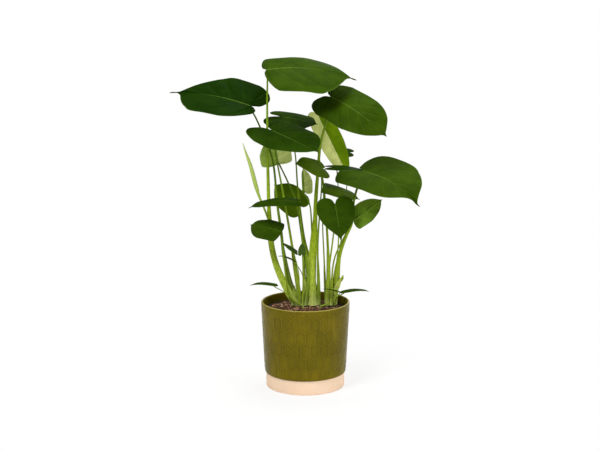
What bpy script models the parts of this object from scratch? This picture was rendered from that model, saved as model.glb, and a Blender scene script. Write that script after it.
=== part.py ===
"""A young potted monstera: heart-shaped leaves on long stalks, in a grow pot inside a glazed cachepot.

Metres, +Z up. The origin is the centre of the cachepot's flat underside. +X is the side of the big arching
leaf on the right, and -Y is the front of the plant. Places and sizes of leaves are in millimetres.
"""

import math
from collections import namedtuple

import bmesh
import bpy
from mathutils import Matrix, Vector

MM = 0.001
GAP = 0.3  # between pieces that touch

# Cachepot, millimetres
POT_HEIGHT = 185.0
POT_RIM_RADIUS = 95.0
POT_WAIST_RADIUS = 87.5  # at the lower edge of the glaze
POT_WALL = 5.0
POT_FLOOR = 8.0
FOOT_HEIGHT = 31.0
FOOT_SETBACK = 3.0  # from the glaze in to the bare foot
FOOT_EDGE = 1.5  # rounding of the foot's lower edge
GLAZE_SHOULDER = 3.0  # height of the rounded step from the glaze to the bare foot
SHOULDER_MIDDLE = (0.35, 0.3)  # a point on that step, as shares of the setback and of the step's height
HOLLOW_FILLET = (4.0, 6.0)  # width and height of the slope round the floor inside
RIM_STEPS = 6
POT_SEGMENTS = 56

# Grow pot, millimetres
GROW_POT_RECESS = 16.7  # from the cachepot's rim down to its own
GROW_POT_RIM_CLEARANCE = 5.0  # between its lip and the cachepot's wall
GROW_POT_BASE_CLEARANCE = 13.5
GROW_POT_WALL = 1.5
GROW_POT_LIP = 3.0
GROW_POT_LIP_DROP = 6.0
GROW_POT_EDGE = 0.5  # chamfer of the lip
GROW_POT_SEGMENTS = 44
DRAIN_HOLES = 6
DRAIN_HOLE_RADIUS = 6.0
DRAIN_HOLE_SEGMENTS = 12
DRAIN_RING = 0.64  # radius of their ring, as a share of the grow pot's base

# Potting mix, millimetres
SOIL_BELOW_LIP = 2.0
SOIL_MOUND = 7.0
SOIL_LUMPS = 3.0
SOIL_RINGS = 6
SOIL_SEGMENTS = 36

# Crowns, millimetres
CROWN_STAND = 3.0  # how far a crown's top stands above the potting mix
CROWN_DEPTH = 26.0
BIG_CROWN = 6.0  # crowns of a greater radius than this get more segments
CROWN_SEGMENTS = 20
SEEDLING_SEGMENTS = 10
# A crown's outline from its top to the end of its root: radius in crown radii, and depth in crown depths
CROWN_OUTLINE = ((0.0, 0.0), (0.8, 0.0), (0.95, 0.11), (1.0, 0.3), (1.0, 0.6), (0.5, 1.0), (0.0, 1.0))

# Leaves and stalks, millimetres
BLADE_THICKNESS = 1.0
BIG_BLADE = 60.0  # blades at least this wide get more ribs
STALK_SPACING = 38.0  # between a stalk's cross-sections
BED = 3.0  # straight length at each end of a stalk, so that its ends sit square
SPLINE_SAMPLES = 8

# Sizes that follow from those above
FOOT_RADIUS = POT_WAIST_RADIUS - FOOT_SETBACK
GROW_POT_BOTTOM = POT_FLOOR + GAP
GROW_POT_TOP = POT_HEIGHT - GROW_POT_RECESS
GROW_POT_RADIUS = POT_RIM_RADIUS - POT_WALL - GROW_POT_RIM_CLEARANCE - GROW_POT_LIP
GROW_POT_BASE_RADIUS = FOOT_RADIUS - POT_WALL - GROW_POT_BASE_CLEARANCE
SOIL_EDGE = GROW_POT_TOP - SOIL_BELOW_LIP
SOIL_TOP = SOIL_EDGE + SOIL_MOUND
CROWN_TOP = SOIL_TOP + CROWN_STAND

# Half of a heart-shaped leaf, from the notch at the stalk round the lobe to the tip. The first number runs
# along the midrib, as a share of the blade's length in front of the stalk and of the lobe's length behind
# it. The second is the share of the half width.
HALF_LEAF = (
    (-0.30, 0.05),
    (-0.72, 0.16),
    (-1.00, 0.46),
    (-0.72, 0.80),
    (0.09, 1.00),
    (0.34, 0.94),
    (0.60, 0.68),
    (0.80, 0.32),
    (0.91, 0.09),
    (1.00, 0.00),
)
HALF_LEAF_BELLY = 0.15  # where along its length this outline is widest
FAN = 0.40  # share of the ribs that spread from the stalk, not from along the midrib

# The clumps that the stalks grow from: place and radius, as shares of the potting mix's radius
CROWNS = {
    "crown_left": ((-0.15, 0.05), 0.24),
    "crown_middle": ((0.27, 0.06), 0.16),
    "crown_right": ((0.67, 0.09), 0.19),
    "crown_seedling_left": ((-0.06, -0.31), 0.045),
    "crown_seedling_right": ((0.39, -0.35), 0.045),
}

# base is where the stalk meets the blade and tip the end of the drip tip. Their heights and the route's are
# above the crowns. roll turns the blade about the line between them (degrees, positive lowers the right-hand
# half, seen from the stalk towards the tip). fold is how far each half rises from the midrib, curl how far
# it turns back down by its edge, bend how far the midrib bows from base to tip and late how much of that bow
# is near the tip. lobe is the length of the lobes behind the stalk and belly the place of the greatest
# width, both as shares of the blade's length. full is 1 for a blade that stays wide towards its tip and 0
# for one that narrows early. skew slides the left half towards the tip, or below 0 the right half. crown
# names the crown, and foot is the stalk's place on it in crown radii. route holds the stalk's points between
# foot and base, girth is the stalk's radius at the foot and neck its radius at the blade.
Leaf = namedtuple(
    "Leaf",
    "name base tip width lobe belly roll bend crown foot girth neck route skew fold curl late full",
    defaults=(0.0, 0.0, 10.0, 1.0, 1.0),
)
STALK_TAPER = 1.2  # above 1, a stalk narrows faster near its foot
NARROWING = 1.3  # how much a blade that isn't full narrows ahead of its widest place

LEAVES = (
    Leaf("top", base=(-80, 0, 501), tip=(107, 10, 479), width=142, lobe=0.07, belly=0.36, skew=-0.15,
         full=0.1, roll=27, fold=-5, curl=12, bend=35, crown="crown_left", foot=(-0.52, 0.16), girth=6.2,
         neck=1.8, route=((-39, 5, 33), (-62, 1, 86), (-73, 2, 135), (-77, 5, 195), (-79, 8, 269),
                (-80, 4, 354), (-80, 5, 438))),
    Leaf("left", base=(-116, 15, 425), tip=(-292, 80, 448), width=118, lobe=0.17, belly=0.24, skew=0.26,
         full=0.0, roll=-36, fold=9, curl=8, bend=30, crown="crown_left", foot=(0.05, 0.52), girth=4.0,
         neck=1.6, route=((-32, 16, 41), (-46, 18, 104), (-52, 18, 159), (-60, 18, 217), (-70, 20, 312),
                (-100, 24, 389))),
    Leaf("upper_right", base=(53, 10, 444), tip=(165, -70, 369), width=101, lobe=0.18, belly=0.35, skew=0.09,
         roll=42, fold=-3, curl=10, bend=42, late=1.2, crown="crown_middle", foot=(-0.44, -0.22),
         girth=6.8, neck=1.8,
         route=((14, -1, 44), (16, 0, 99), (20, 5, 162), (22, 10, 226), (26, 20, 279), (31, 28, 336),
                (40, 26, 378))),
    Leaf("shade", base=(-68, -8, 375), tip=(26, -95, 340), width=112, lobe=0.35, belly=0.25, skew=0.12,
         roll=17, fold=2, curl=8, bend=2, crown="crown_left", foot=(0.10, -0.10), girth=3.4, neck=1.5,
         route=((-20, -4, 74), (-32, -8, 154), (-48, -8, 248), (-62, -6, 324))),
    Leaf("middle", base=(-50, 76, 397), tip=(26, 50, 383), width=80, lobe=0.44, belly=0.32,
         roll=22, fold=-5, curl=15, bend=12, crown="crown_middle", foot=(0.42, 0.48), girth=3.0, neck=1.3,
         route=((14, 24, 74), (-3, 24, 144), (-16, 34, 244), (-24, 74, 328))),
    Leaf("pale_back", base=(-58, 38, 300), tip=(-66, 28, 369), width=74, lobe=0.06, belly=0.2,
         roll=60, fold=12, curl=0, bend=10, crown="crown_left", foot=(0.57, -0.36), girth=4.0, neck=1.5,
         route=((6, -6, 64), (-3, 2, 120), (-18, 14, 215), (-36, 28, 259))),
    Leaf("hanging", base=(29, 102, 396), tip=(96, 96, 260), width=54, lobe=0.10, belly=0.35,
         roll=80, fold=15, curl=0, bend=10, crown="crown_right", foot=(-0.35, -0.10), girth=3.6, neck=1.6,
         route=((50, 32, 84), (42, 66, 224), (28, 106, 325))),
    Leaf("back_right", base=(95, 118, 315), tip=(45, 122, 316), width=36, lobe=0.25, belly=0.2,
         roll=-25, bend=15, crown="crown_right", foot=(-0.10, 0.71), girth=1.8, neck=1.0,
         route=((74, 46, 104), (90, 100, 224))),
    Leaf("low_left", base=(-51, -36, 166), tip=(-116, -26, 179), width=58, lobe=0.05, belly=0.4, skew=0.15,
         roll=-38, fold=-8, bend=20, crown="crown_left", foot=(-0.42, -0.47), girth=2.4, neck=1.2,
         route=((-34, -18, 24), (-43, -42, 84), (-48, -44, 134))),
    Leaf("centre", base=(35, -13, 297), tip=(-22, -50, 311), width=60, lobe=0.20, belly=0.25,
         roll=-36, curl=12, bend=20, crown="crown_middle", foot=(0.58, -0.22), girth=2.6, neck=1.2,
         route=((26, -12, 124), (30, -14, 204), (34, -14, 264))),
    Leaf("right", base=(120, 0, 290), tip=(232, -100, 229), width=146, lobe=0.20, belly=0.26, skew=0.16,
         full=0.6, roll=20, fold=8, curl=12, bend=48, late=1.8, crown="crown_right", foot=(0.42, 0.05),
         girth=5.4, neck=1.9,
         route=((66, 4, 42), (72, -16, 109), (84, -28, 152), (97, -36, 186), (101, -28, 229),
                (112, -6, 264))),
    Leaf("right_back", base=(68, 54, 290), tip=(145, 60, 276), width=40, lobe=0.35, belly=0.2,
         roll=10, bend=20, crown="crown_right", foot=(0.38, 0.70), girth=2.0, neck=1.1,
         route=((70, 36, 104), (73, 58, 204))),
    Leaf("olive", base=(40, 24, 252), tip=(116, 14, 226), width=60, lobe=0.05, belly=0.35,
         roll=14, bend=15, crown="crown_right", foot=(-0.63, 0.38), girth=2.2, neck=1.1,
         route=((40, 20, 103), (37, 26, 174))),
    Leaf("front", base=(61, -48, 226), tip=(73, -73, 155), width=86, lobe=0.20, belly=0.15,
         roll=5, fold=8, curl=15, bend=10, crown="crown_right", foot=(-0.45, -0.75), girth=2.6, neck=1.2,
         route=((50, -16, 80), (57, -32, 144), (61, -47, 194))),
    Leaf("grey_right", base=(102, -22, 188), tip=(161, -24, 233), width=48, lobe=0.06, belly=0.32,
         roll=-110, bend=15, crown="crown_right", foot=(0.08, -0.75), girth=2.4, neck=1.2,
         route=((60, -4, 94), (84, -10, 154))),
    Leaf("side_left", base=(-18, -30, 229), tip=(-119, -40, 217), width=38, lobe=0.10, belly=0.35,
         roll=-18, fold=5, curl=25, bend=35, crown="crown_left", foot=(0.52, 0.16), girth=2.4, neck=1.1,
         route=((-7, -14, 144), (-12, -28, 199))),
    Leaf("dark_back", base=(-14, 56, 206), tip=(-68, 66, 251), width=66, lobe=0.20, belly=0.3,
         roll=-55, bend=10, crown="crown_left", foot=(0.62, 0.52), girth=2.4, neck=1.1,
         route=((-5, 46, 156),)),
    Leaf("half_open", base=(-1, 15, 243), tip=(-5, 10, 295), width=34, lobe=0.10, belly=0.3,
         roll=0, fold=30, curl=0, bend=8, crown="crown_middle", foot=(-0.28, 0.64), girth=2.4, neck=1.4,
         route=((13, 12, 174), (8, 15, 219))),
    Leaf("small_a", base=(-20, -30, 122), tip=(-51, -36, 142), width=22, lobe=0.15, belly=0.25,
         roll=-20, bend=15, crown="crown_left", foot=(-0.05, -0.62), girth=1.6, neck=0.8,
         route=((-14, -26, 74),)),
    Leaf("small_b", base=(-8, -26, 116), tip=(-7, -30, 141), width=16, lobe=0.15, belly=0.25,
         roll=0, bend=15, crown="crown_left", foot=(0.31, -0.73), girth=1.4, neck=0.8,
         route=((-5, -18, 74),)),
    Leaf("small_c", base=(-22, -19, 100), tip=(-58, -21, 111), width=16, lobe=0.15, belly=0.25,
         roll=0, curl=20, bend=40, crown="crown_left", foot=(0.21, -0.47), girth=1.4, neck=0.8,
         route=((-4, -2, 54), (-13, -12, 82))),
    Leaf("rim_small", base=(74, -16, 32), tip=(37, -22, 40), width=14, lobe=0.15, belly=0.25,
         roll=0, curl=15, bend=20, crown="crown_right", foot=(0.60, -0.60), girth=1.3, neck=0.7,
         route=((67, -12, 18),)),
    Leaf("seedling_left", base=(-64, -50, 57), tip=(-116, -58, 56), width=26, lobe=0.12, belly=0.3,
         roll=0, curl=20, bend=35, crown="crown_seedling_left", foot=(0, 0), girth=1.3, neck=0.8,
         route=((-20, -33, 14), (-42, -42, 36))),
    Leaf("seedling_right", base=(79, -50, 42), tip=(133, -58, 43), width=26, lobe=0.12, belly=0.3,
         roll=0, curl=20, bend=35, crown="crown_seedling_right", foot=(0, 0), girth=1.3, neck=0.8,
         route=((48, -36, 11), (64, -43, 27))),
)

# The rolled new leaf: points from its foot on the top leaf's stalk to its tip, each with its radius
NEW_LEAF = (
    ((-80, -3, 190), 2.0),
    ((-86, -8, 208), 2.2),
    ((-97, -12, 236), 2.6),
    ((-104, -13, 259), 4.6),
    ((-115, -16, 302), 4.2),
    ((-124, -18, 329), 2.4),
    ((-131, -20, 351), 0.6),
)


def clear_scene():
    for obj in list(bpy.data.objects):
        bpy.data.objects.remove(obj, do_unlink=True)


def new_collection(name):
    made = bpy.data.collections.new(name)
    bpy.context.scene.collection.children.link(made)
    return made


def material(name, colour, roughness):
    made = bpy.data.materials.new(name)
    made.use_nodes = True
    shader = made.node_tree.nodes["Principled BSDF"]
    shader.inputs["Base Color"].default_value = (*colour, 1.0)
    shader.inputs["Roughness"].default_value = roughness
    return made


def add_mesh(name, build, collection):
    """A new object whose mesh the function build fills in, in millimetres."""
    mesh = bpy.data.meshes.new(name)
    shape = bmesh.new()
    build(shape)
    bmesh.ops.scale(shape, vec=(MM, MM, MM), verts=shape.verts)
    shape.to_mesh(mesh)
    shape.free()
    obj = bpy.data.objects.new(name, mesh)
    collection.objects.link(obj)
    return obj


def finish(obj, look, smooth_below=35.0):
    obj.data.materials.append(look)
    if obj.type == "MESH":
        obj.data.shade_smooth()
        obj.data.set_sharp_from_angle(angle=math.radians(smooth_below))


def turned(name, profile, segments, collection):
    """A solid of revolution about +Z. The profile (radius, height) runs down the outer side."""

    def build(shape):
        points = [shape.verts.new((radius, 0.0, height)) for radius, height in profile]
        for above, below in zip(points, points[1:]):
            shape.edges.new((above, below))

    obj = add_mesh(name, build, collection)
    screw = obj.modifiers.new("turn", "SCREW")
    screw.steps = segments
    screw.render_steps = segments
    screw.use_merge_vertices = True
    screw.merge_threshold = 0.00005
    return obj


def cut(obj, cutter):
    boolean = obj.modifiers.new(cutter.name, "BOOLEAN")
    boolean.object = cutter
    boolean.operation = "DIFFERENCE"


def hide_cutter(obj):
    obj.hide_render = True
    obj.display_type = "WIRE"


def arc(centre, radius, first, last, steps):
    """Points on an arc in the profile's plane, angles in degrees from the outward direction."""
    points = []
    for step in range(steps + 1):
        angle = math.radians(first + (last - first) * step / steps)
        points.append((centre[0] + radius * math.cos(angle), centre[1] + radius * math.sin(angle)))
    return points


def make_cachepot(collection):
    lip = POT_WALL / 2
    glaze_bottom = FOOT_HEIGHT + GLAZE_SHOULDER
    profile = [
        (0.0, POT_FLOOR),
        (FOOT_RADIUS - POT_WALL - HOLLOW_FILLET[0], POT_FLOOR),
        (FOOT_RADIUS - POT_WALL, POT_FLOOR + HOLLOW_FILLET[1]),
        (POT_WAIST_RADIUS - POT_WALL, glaze_bottom),
        *arc((POT_RIM_RADIUS - lip, POT_HEIGHT - lip), lip, 180.0, 0.0, RIM_STEPS),
        (POT_WAIST_RADIUS, glaze_bottom),
        (
            POT_WAIST_RADIUS - SHOULDER_MIDDLE[0] * FOOT_SETBACK,
            FOOT_HEIGHT + SHOULDER_MIDDLE[1] * GLAZE_SHOULDER,
        ),
        (FOOT_RADIUS, FOOT_HEIGHT),
        (FOOT_RADIUS, FOOT_EDGE),
        (FOOT_RADIUS - FOOT_EDGE, 0.0),
        (0.0, 0.0),
    ]
    pot = turned("cachepot", profile, POT_SEGMENTS, collection)
    finish(pot, material("olive_glaze", (0.16, 0.13, 0.012), 0.2))


def grow_pot_radius(height):
    """The grow pot's outer radius at a height above the ground."""
    share = (height - GROW_POT_BOTTOM) / (GROW_POT_TOP - GROW_POT_BOTTOM)
    return GROW_POT_BASE_RADIUS + share * (GROW_POT_RADIUS - GROW_POT_BASE_RADIUS)


def soil_radius(height):
    """The radius of the potting mix at a height above the ground."""
    return grow_pot_radius(height) - GROW_POT_WALL - GAP


def make_grow_pot(collection, cutters):
    floor = GROW_POT_BOTTOM + GROW_POT_WALL
    lip_radius = GROW_POT_RADIUS + GROW_POT_LIP
    lip_bottom = GROW_POT_TOP - GROW_POT_LIP_DROP
    under_lip = GROW_POT_TOP - GROW_POT_WALL
    profile = [
        (0.0, floor),
        (grow_pot_radius(floor) - GROW_POT_WALL, floor),
        (GROW_POT_RADIUS - GROW_POT_WALL, GROW_POT_TOP - GROW_POT_EDGE),
        (GROW_POT_RADIUS - GROW_POT_WALL + GROW_POT_EDGE, GROW_POT_TOP),
        (lip_radius - GROW_POT_EDGE, GROW_POT_TOP),
        (lip_radius, GROW_POT_TOP - GROW_POT_EDGE),
        (lip_radius, lip_bottom),
        (lip_radius - GROW_POT_WALL, lip_bottom),
        (lip_radius - GROW_POT_WALL, under_lip),
        (grow_pot_radius(under_lip), under_lip),
        (GROW_POT_BASE_RADIUS, GROW_POT_BOTTOM),
        (0.0, GROW_POT_BOTTOM),
    ]
    pot = turned("grow_pot", profile, GROW_POT_SEGMENTS, collection)
    for number in range(DRAIN_HOLES):
        turn = Matrix.Rotation(2 * math.pi * number / DRAIN_HOLES, 4, "Z")
        ring_radius = DRAIN_RING * GROW_POT_BASE_RADIUS
        place = turn @ Vector((ring_radius, 0.0, GROW_POT_BOTTOM + GROW_POT_WALL / 2))

        def build(shape, place=place):
            bmesh.ops.create_cone(
                shape, cap_ends=True, segments=DRAIN_HOLE_SEGMENTS, radius1=DRAIN_HOLE_RADIUS,
                radius2=DRAIN_HOLE_RADIUS, depth=4 * GROW_POT_WALL, matrix=Matrix.Translation(place),
            )

        drill = add_mesh(f"drain_hole_{number + 1}", build, cutters)
        hide_cutter(drill)
        cut(pot, drill)
    finish(pot, material("black_plastic", (0.02, 0.02, 0.018), 0.6))


def crown_place(name):
    """The middle of a crown seen from above, and its radius, in millimetres."""
    (x, y), radius = CROWNS[name]
    scale = soil_radius(SOIL_EDGE)
    return Vector((x, y)) * scale, radius * scale


def crown_profile(radius, grow):
    """A low dome on a tapering root end. grow makes it bigger all round."""
    profile = []
    for out, depth in CROWN_OUTLINE:
        side = radius * out + grow if out else 0.0
        profile.append((side, CROWN_TOP - depth * CROWN_DEPTH + (grow if depth < 0.5 else -grow)))
    return profile


def make_crowns(collection, cutters):
    """The crowns, and the cutters that make room for them in the potting mix."""
    look = material("crown_bark", (0.10, 0.09, 0.03), 0.8)
    pockets = []
    for name in CROWNS:
        place, radius = crown_place(name)
        segments = CROWN_SEGMENTS if radius > BIG_CROWN else SEEDLING_SEGMENTS
        crown = turned(name, crown_profile(radius, 0.0), segments, collection)
        pocket = turned("pocket_" + name, crown_profile(radius, GAP), segments, cutters)
        hide_cutter(pocket)
        for obj in (crown, pocket):
            obj.location = place.to_3d() * MM
        finish(crown, look)
        pockets.append(pocket)
    return pockets


def make_soil(collection, pockets):
    bottom = GROW_POT_BOTTOM + GROW_POT_WALL + GAP
    edge_radius = soil_radius(SOIL_EDGE)
    profile = []
    for ring in range(SOIL_RINGS):
        share = ring / SOIL_RINGS
        profile.append((edge_radius * share, SOIL_EDGE + SOIL_MOUND * (1 - share**2)))
    surface = len(profile)
    profile.append((edge_radius, SOIL_EDGE))
    profile.append((soil_radius(bottom), bottom))
    profile.append((0.0, bottom))
    soil = turned("soil", profile, SOIL_SEGMENTS, collection)
    top = soil.vertex_groups.new(name="top_surface")
    top.add(list(range(surface)), 1.0, "REPLACE")
    lumps = bpy.data.textures.new("soil_lumps", "CLOUDS")
    lumps.noise_scale = 0.016
    displace = soil.modifiers.new("lumps", "DISPLACE")
    displace.texture = lumps
    displace.texture_coords = "LOCAL"
    displace.direction = "Z"
    displace.strength = SOIL_LUMPS * MM
    displace.vertex_group = top.name
    for pocket in pockets:
        cut(soil, pocket)
    finish(soil, material("potting_mix", (0.12, 0.06, 0.035), 0.95))


def spline_through(points, samples):
    """Catmull-Rom curve: samples points between each two neighbours, and the last point."""
    ends = [points[0] * 2 - points[1], *points, points[-1] * 2 - points[-2]]
    curve = []
    for before, start, end, after in zip(ends, ends[1:], ends[2:], ends[3:]):
        for step in range(samples):
            t = step / samples
            curve.append(
                0.5 * (2 * start + (end - before) * t + (2 * before - 5 * start + 4 * end - after) * t**2
                       + (3 * start - before - 3 * end + after) * t**3)
            )
    return [*curve, points[-1].copy()]


def evenly(points, spacing):
    """The same line with points about spacing apart."""
    lengths = [0.0]
    for start, end in zip(points, points[1:]):
        lengths.append(lengths[-1] + (end - start).length)
    count = max(2, round(lengths[-1] / spacing))
    spaced = []
    piece = 0
    for step in range(count + 1):
        wanted = lengths[-1] * step / count
        while piece < len(points) - 2 and lengths[piece + 1] < wanted:
            piece += 1
        share = (wanted - lengths[piece]) / (lengths[piece + 1] - lengths[piece])
        spaced.append(points[piece].lerp(points[piece + 1], min(1.0, share)))
    return spaced


def tube(name, points, radii, collection):
    """A tapering round tube with flat ends, through points in millimetres."""
    curve = bpy.data.curves.new(name, "CURVE")
    curve.dimensions = "3D"
    curve.bevel_depth = MM
    curve.bevel_resolution = 2
    curve.use_fill_caps = True
    line = curve.splines.new("POLY")
    line.points.add(len(points) - 1)
    for knot, place, radius in zip(line.points, points, radii):
        knot.co = (*(place * MM), 1.0)
        knot.radius = radius
    obj = bpy.data.objects.new(name, curve)
    collection.objects.link(obj)
    return obj


def midrib_line(leaf, length, steps=40):
    """The bowed midrib seen from the side, from the stalk at 0 to the tip at (length, 0)."""
    bend = math.radians(leaf.bend)
    line = [Vector((0.0, 0.0))]
    for step in range(steps):
        angle = -bend * ((step + 0.5) / steps) ** leaf.late
        line.append(line[-1] + Vector((math.cos(angle), math.sin(angle))) / steps)
    chord = line[-1]
    level = Matrix.Rotation(-math.atan2(chord.y, chord.x), 2)
    return [level @ point * (length / chord.length) for point in line]


def along_midrib(line, share):
    """Where share of the midrib's length lies, and its slope there. Below 0 it runs straight on behind."""
    steps = len(line) - 1
    if share <= 0.0:
        slope = (line[1] - line[0]).normalized()
        return line[0] + slope * (line[1] - line[0]).length * steps * share, slope
    piece = min(int(share * steps), steps - 1)
    slope = (line[piece + 1] - line[piece]).normalized()
    return line[piece].lerp(line[piece + 1], share * steps - piece), slope


def across_blade(leaf, distance):
    """Sideways and upward place of a point of the blade, by its distance from the midrib."""
    fold = math.radians(leaf.fold)
    if abs(leaf.curl) < 1.0:
        return distance * math.cos(fold), abs(distance) * math.sin(fold)
    rate = math.radians(leaf.curl) / (leaf.width / 2)
    angle = fold - rate * abs(distance)
    sideways = (math.sin(fold) - math.sin(angle)) / rate
    return math.copysign(sideways, distance), (math.cos(angle) - math.cos(fold)) / rate


def blade_axes(leaf):
    """The blade's own axes: towards the tip, to the left and up from its top side."""
    ahead = (leaf.tip - leaf.base).normalized()
    left = Vector((0.0, 0.0, 1.0)).cross(ahead).normalized()
    left = Matrix.Rotation(math.radians(leaf.roll), 3, ahead) @ left
    return ahead, left, ahead.cross(left)


def half_leaf_point(share):
    """A point of the leaf's outline, from its notch at 0 to its tip at 1."""
    steps = len(HALF_LEAF) - 1
    knots = [Vector(point) for point in HALF_LEAF]
    ends = [knots[0] * 2 - knots[1], *knots, knots[-1] * 2 - knots[-2]]
    piece = min(int(share * steps), steps - 1)
    before, start, end, after = ends[piece : piece + 4]
    t = share * steps - piece
    return 0.5 * (2 * start + (end - before) * t + (2 * before - 5 * start + 4 * end - after) * t**2
                  + (3 * start - before - 3 * end + after) * t**3)


def blade_edge(leaf, share):
    """How far along and across the leaf its edge lies, as shares of the blade's length and half width."""
    point = half_leaf_point(share)
    if point.x < 0.0:
        return point.x * leaf.lobe, point.y
    along = point.x ** (math.log(leaf.belly) / math.log(HALF_LEAF_BELLY))
    if point.x < HALF_LEAF_BELLY:
        return along, point.y
    return along, max(0.0, point.y) ** (1 + NARROWING * (1 - leaf.full))


def blade_grid(leaf, ribs, cells):
    """For each half, rows of blade points: each row runs along one rib from the midrib to the edge."""
    line = midrib_line(leaf, (leaf.tip - leaf.base).length)
    ahead, left, up = blade_axes(leaf)
    halves = []
    for side in (1.0, -1.0):
        rows = []
        for rib in range(ribs + 1):
            reach, spread = blade_edge(leaf, rib / ribs)
            root = max(0.0, (rib / ribs - FAN) / (1 - FAN))
            row = []
            for cell in range(cells + 1):
                share = cell / cells
                along = root + (reach + max(0.0, side * leaf.skew) * spread - root) * share
                sideways, rise = across_blade(leaf, side * spread * share * leaf.width / 2)
                spot, slope = along_midrib(line, along)
                level = ahead * (spot.x - slope.y * rise) + left * sideways
                row.append(leaf.base + level + up * (spot.y + slope.x * rise))
            rows.append(row)
        halves.append(rows)
    return halves


def raised(place):
    """A place given above the crowns, measured from the ground."""
    return Vector(place) + Vector((0.0, 0.0, CROWN_TOP))


def above_ground(leaf):
    return leaf._replace(base=raised(leaf.base), tip=raised(leaf.tip), route=tuple(map(raised, leaf.route)))


def make_blade(leaf, look, collection):
    ribs, cells = (9, 3) if leaf.width >= BIG_BLADE else (7, 2)

    def build(shape):
        for side, rows in zip((1, -1), blade_grid(leaf, ribs, cells)):
            points = [[shape.verts.new(point) for point in row] for row in rows]
            for near, far in zip(points, points[1:]):
                for a, b, c, d in zip(near, near[1:], far[1:], far):
                    shape.faces.new((a, b, c, d)[::-side])
        bmesh.ops.remove_doubles(shape, verts=shape.verts, dist=0.01)

    blade = add_mesh("blade_" + leaf.name, build, collection)
    skin = blade.modifiers.new("thickness", "SOLIDIFY")
    skin.thickness = BLADE_THICKNESS * MM
    skin.offset = 0.0
    finish(blade, look, 60.0)


def make_stalk(leaf, look, collection):
    line = midrib_line(leaf, (leaf.tip - leaf.base).length)
    slope = along_midrib(line, 0.0)[1]
    ahead, _, up = blade_axes(leaf)
    down = ahead * slope.y - up * slope.x
    droop = leaf.neck * max(0.0, math.tan(math.radians(-leaf.fold)))
    end = leaf.base + down * (BLADE_THICKNESS / 2 + GAP + droop)
    middle, crown_radius = crown_place(leaf.crown)
    foot = (middle + Vector(leaf.foot) * crown_radius).to_3d() + Vector((0.0, 0.0, CROWN_TOP + GAP))
    lift = Vector((0.0, 0.0, BED))
    bends = [foot + lift, *leaf.route, end + down * 2 * BED]
    points = [foot, *evenly(spline_through(bends, SPLINE_SAMPLES), STALK_SPACING), end]
    radii = []
    for number in range(len(points)):
        share = number / (len(points) - 1)
        radii.append(leaf.neck + (leaf.girth - leaf.neck) * (1 - share) ** STALK_TAPER)
    stalk = tube("stalk_" + leaf.name, points, radii, collection)
    finish(stalk, look)


def make_new_leaf(look, collection):
    knots = [Vector((*raised(place), radius)) for place, radius in NEW_LEAF]
    line = spline_through(knots, 2)
    leaf = tube("new_leaf", [knot.to_3d() for knot in line], [knot.w for knot in line], collection)
    finish(leaf, look)


def main():
    clear_scene()
    plant = new_collection("potted_monstera")
    cutters = new_collection("cutters")
    make_cachepot(plant)
    make_grow_pot(plant, cutters)
    make_soil(plant, make_crowns(plant, cutters))
    leaf_green = material("leaf_green", (0.035, 0.12, 0.012), 0.35)
    stalk_green = material("stalk_green", (0.25, 0.36, 0.05), 0.45)
    for leaf in map(above_ground, LEAVES):
        make_blade(leaf, leaf_green, plant)
        make_stalk(leaf, stalk_green, plant)
    make_new_leaf(material("young_green", (0.45, 0.60, 0.10), 0.4), plant)


main()
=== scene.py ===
"""The looks of a young potted monstera: veined heart-shaped leaves on sheathed stalks, potting mix with bark
chips, and a glazed cachepot with a honeycomb in low relief over a bare clay foot.

Lengths and places are in millimetres until a mesh is made, and the frame is in metres.
"""

import math
import random
from collections import namedtuple

import bmesh
import bpy
import numpy as np
from mathutils import Matrix, Vector, noise


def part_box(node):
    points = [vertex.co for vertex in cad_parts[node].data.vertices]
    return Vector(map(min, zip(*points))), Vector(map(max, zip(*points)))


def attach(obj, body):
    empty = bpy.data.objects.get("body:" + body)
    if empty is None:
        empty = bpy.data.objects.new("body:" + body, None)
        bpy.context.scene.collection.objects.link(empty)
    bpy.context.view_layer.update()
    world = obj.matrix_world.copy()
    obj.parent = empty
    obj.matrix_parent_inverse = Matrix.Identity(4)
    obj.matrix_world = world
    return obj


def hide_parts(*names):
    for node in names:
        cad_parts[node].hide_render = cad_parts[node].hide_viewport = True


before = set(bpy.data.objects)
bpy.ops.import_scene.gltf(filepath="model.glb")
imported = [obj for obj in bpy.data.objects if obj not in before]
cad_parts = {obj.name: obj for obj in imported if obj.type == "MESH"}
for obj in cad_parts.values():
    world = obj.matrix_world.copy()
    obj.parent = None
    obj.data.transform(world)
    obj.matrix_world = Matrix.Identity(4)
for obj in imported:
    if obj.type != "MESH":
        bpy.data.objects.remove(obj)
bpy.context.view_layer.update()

MM = 0.001

# Cachepot
HONEYCOMB_COLUMNS = 28  # cells round the pot
CELL_RISE = 28.0  # from one row of cells to the next
CELL_CAP = 8.0  # height of a cell's pointed end
RELIEF_LOW = 37.0
RELIEF_HIGH = 179.0
RIDGE = 0.45  # how far the honeycomb's lines stand proud
RIDGE_WIDTH = 1.0
POOL_PLACE = 1.6  # from a line to the middle of the glaze that pools beside it
POOL_WIDTH = 1.2
POOL_DEPTH = 0.15
PLAIN_TONE = 0.4  # the glaze's tone where it has no cells
POT_WALL = 5.0
POT_FLOOR = 8.0
FOOT_HEIGHT = 31.0
FOOT_SETBACK = 3.0
POT_WAIST_RADIUS = 87.5

# Potting mix
CROWN_STAND = 3.0  # from the mix to the tops of the crowns
SOIL_MOUND = 7.0  # rise of the mix from its edge to its middle
CHIPS = 900
CHIP_SIZES = (1.2, 4.2)
FIBRES = 320
FIBRE_LENGTHS = (5.0, 16.0)
FIBRE_RADIUS = 0.28
FIBRE_STEPS = 6

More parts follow.
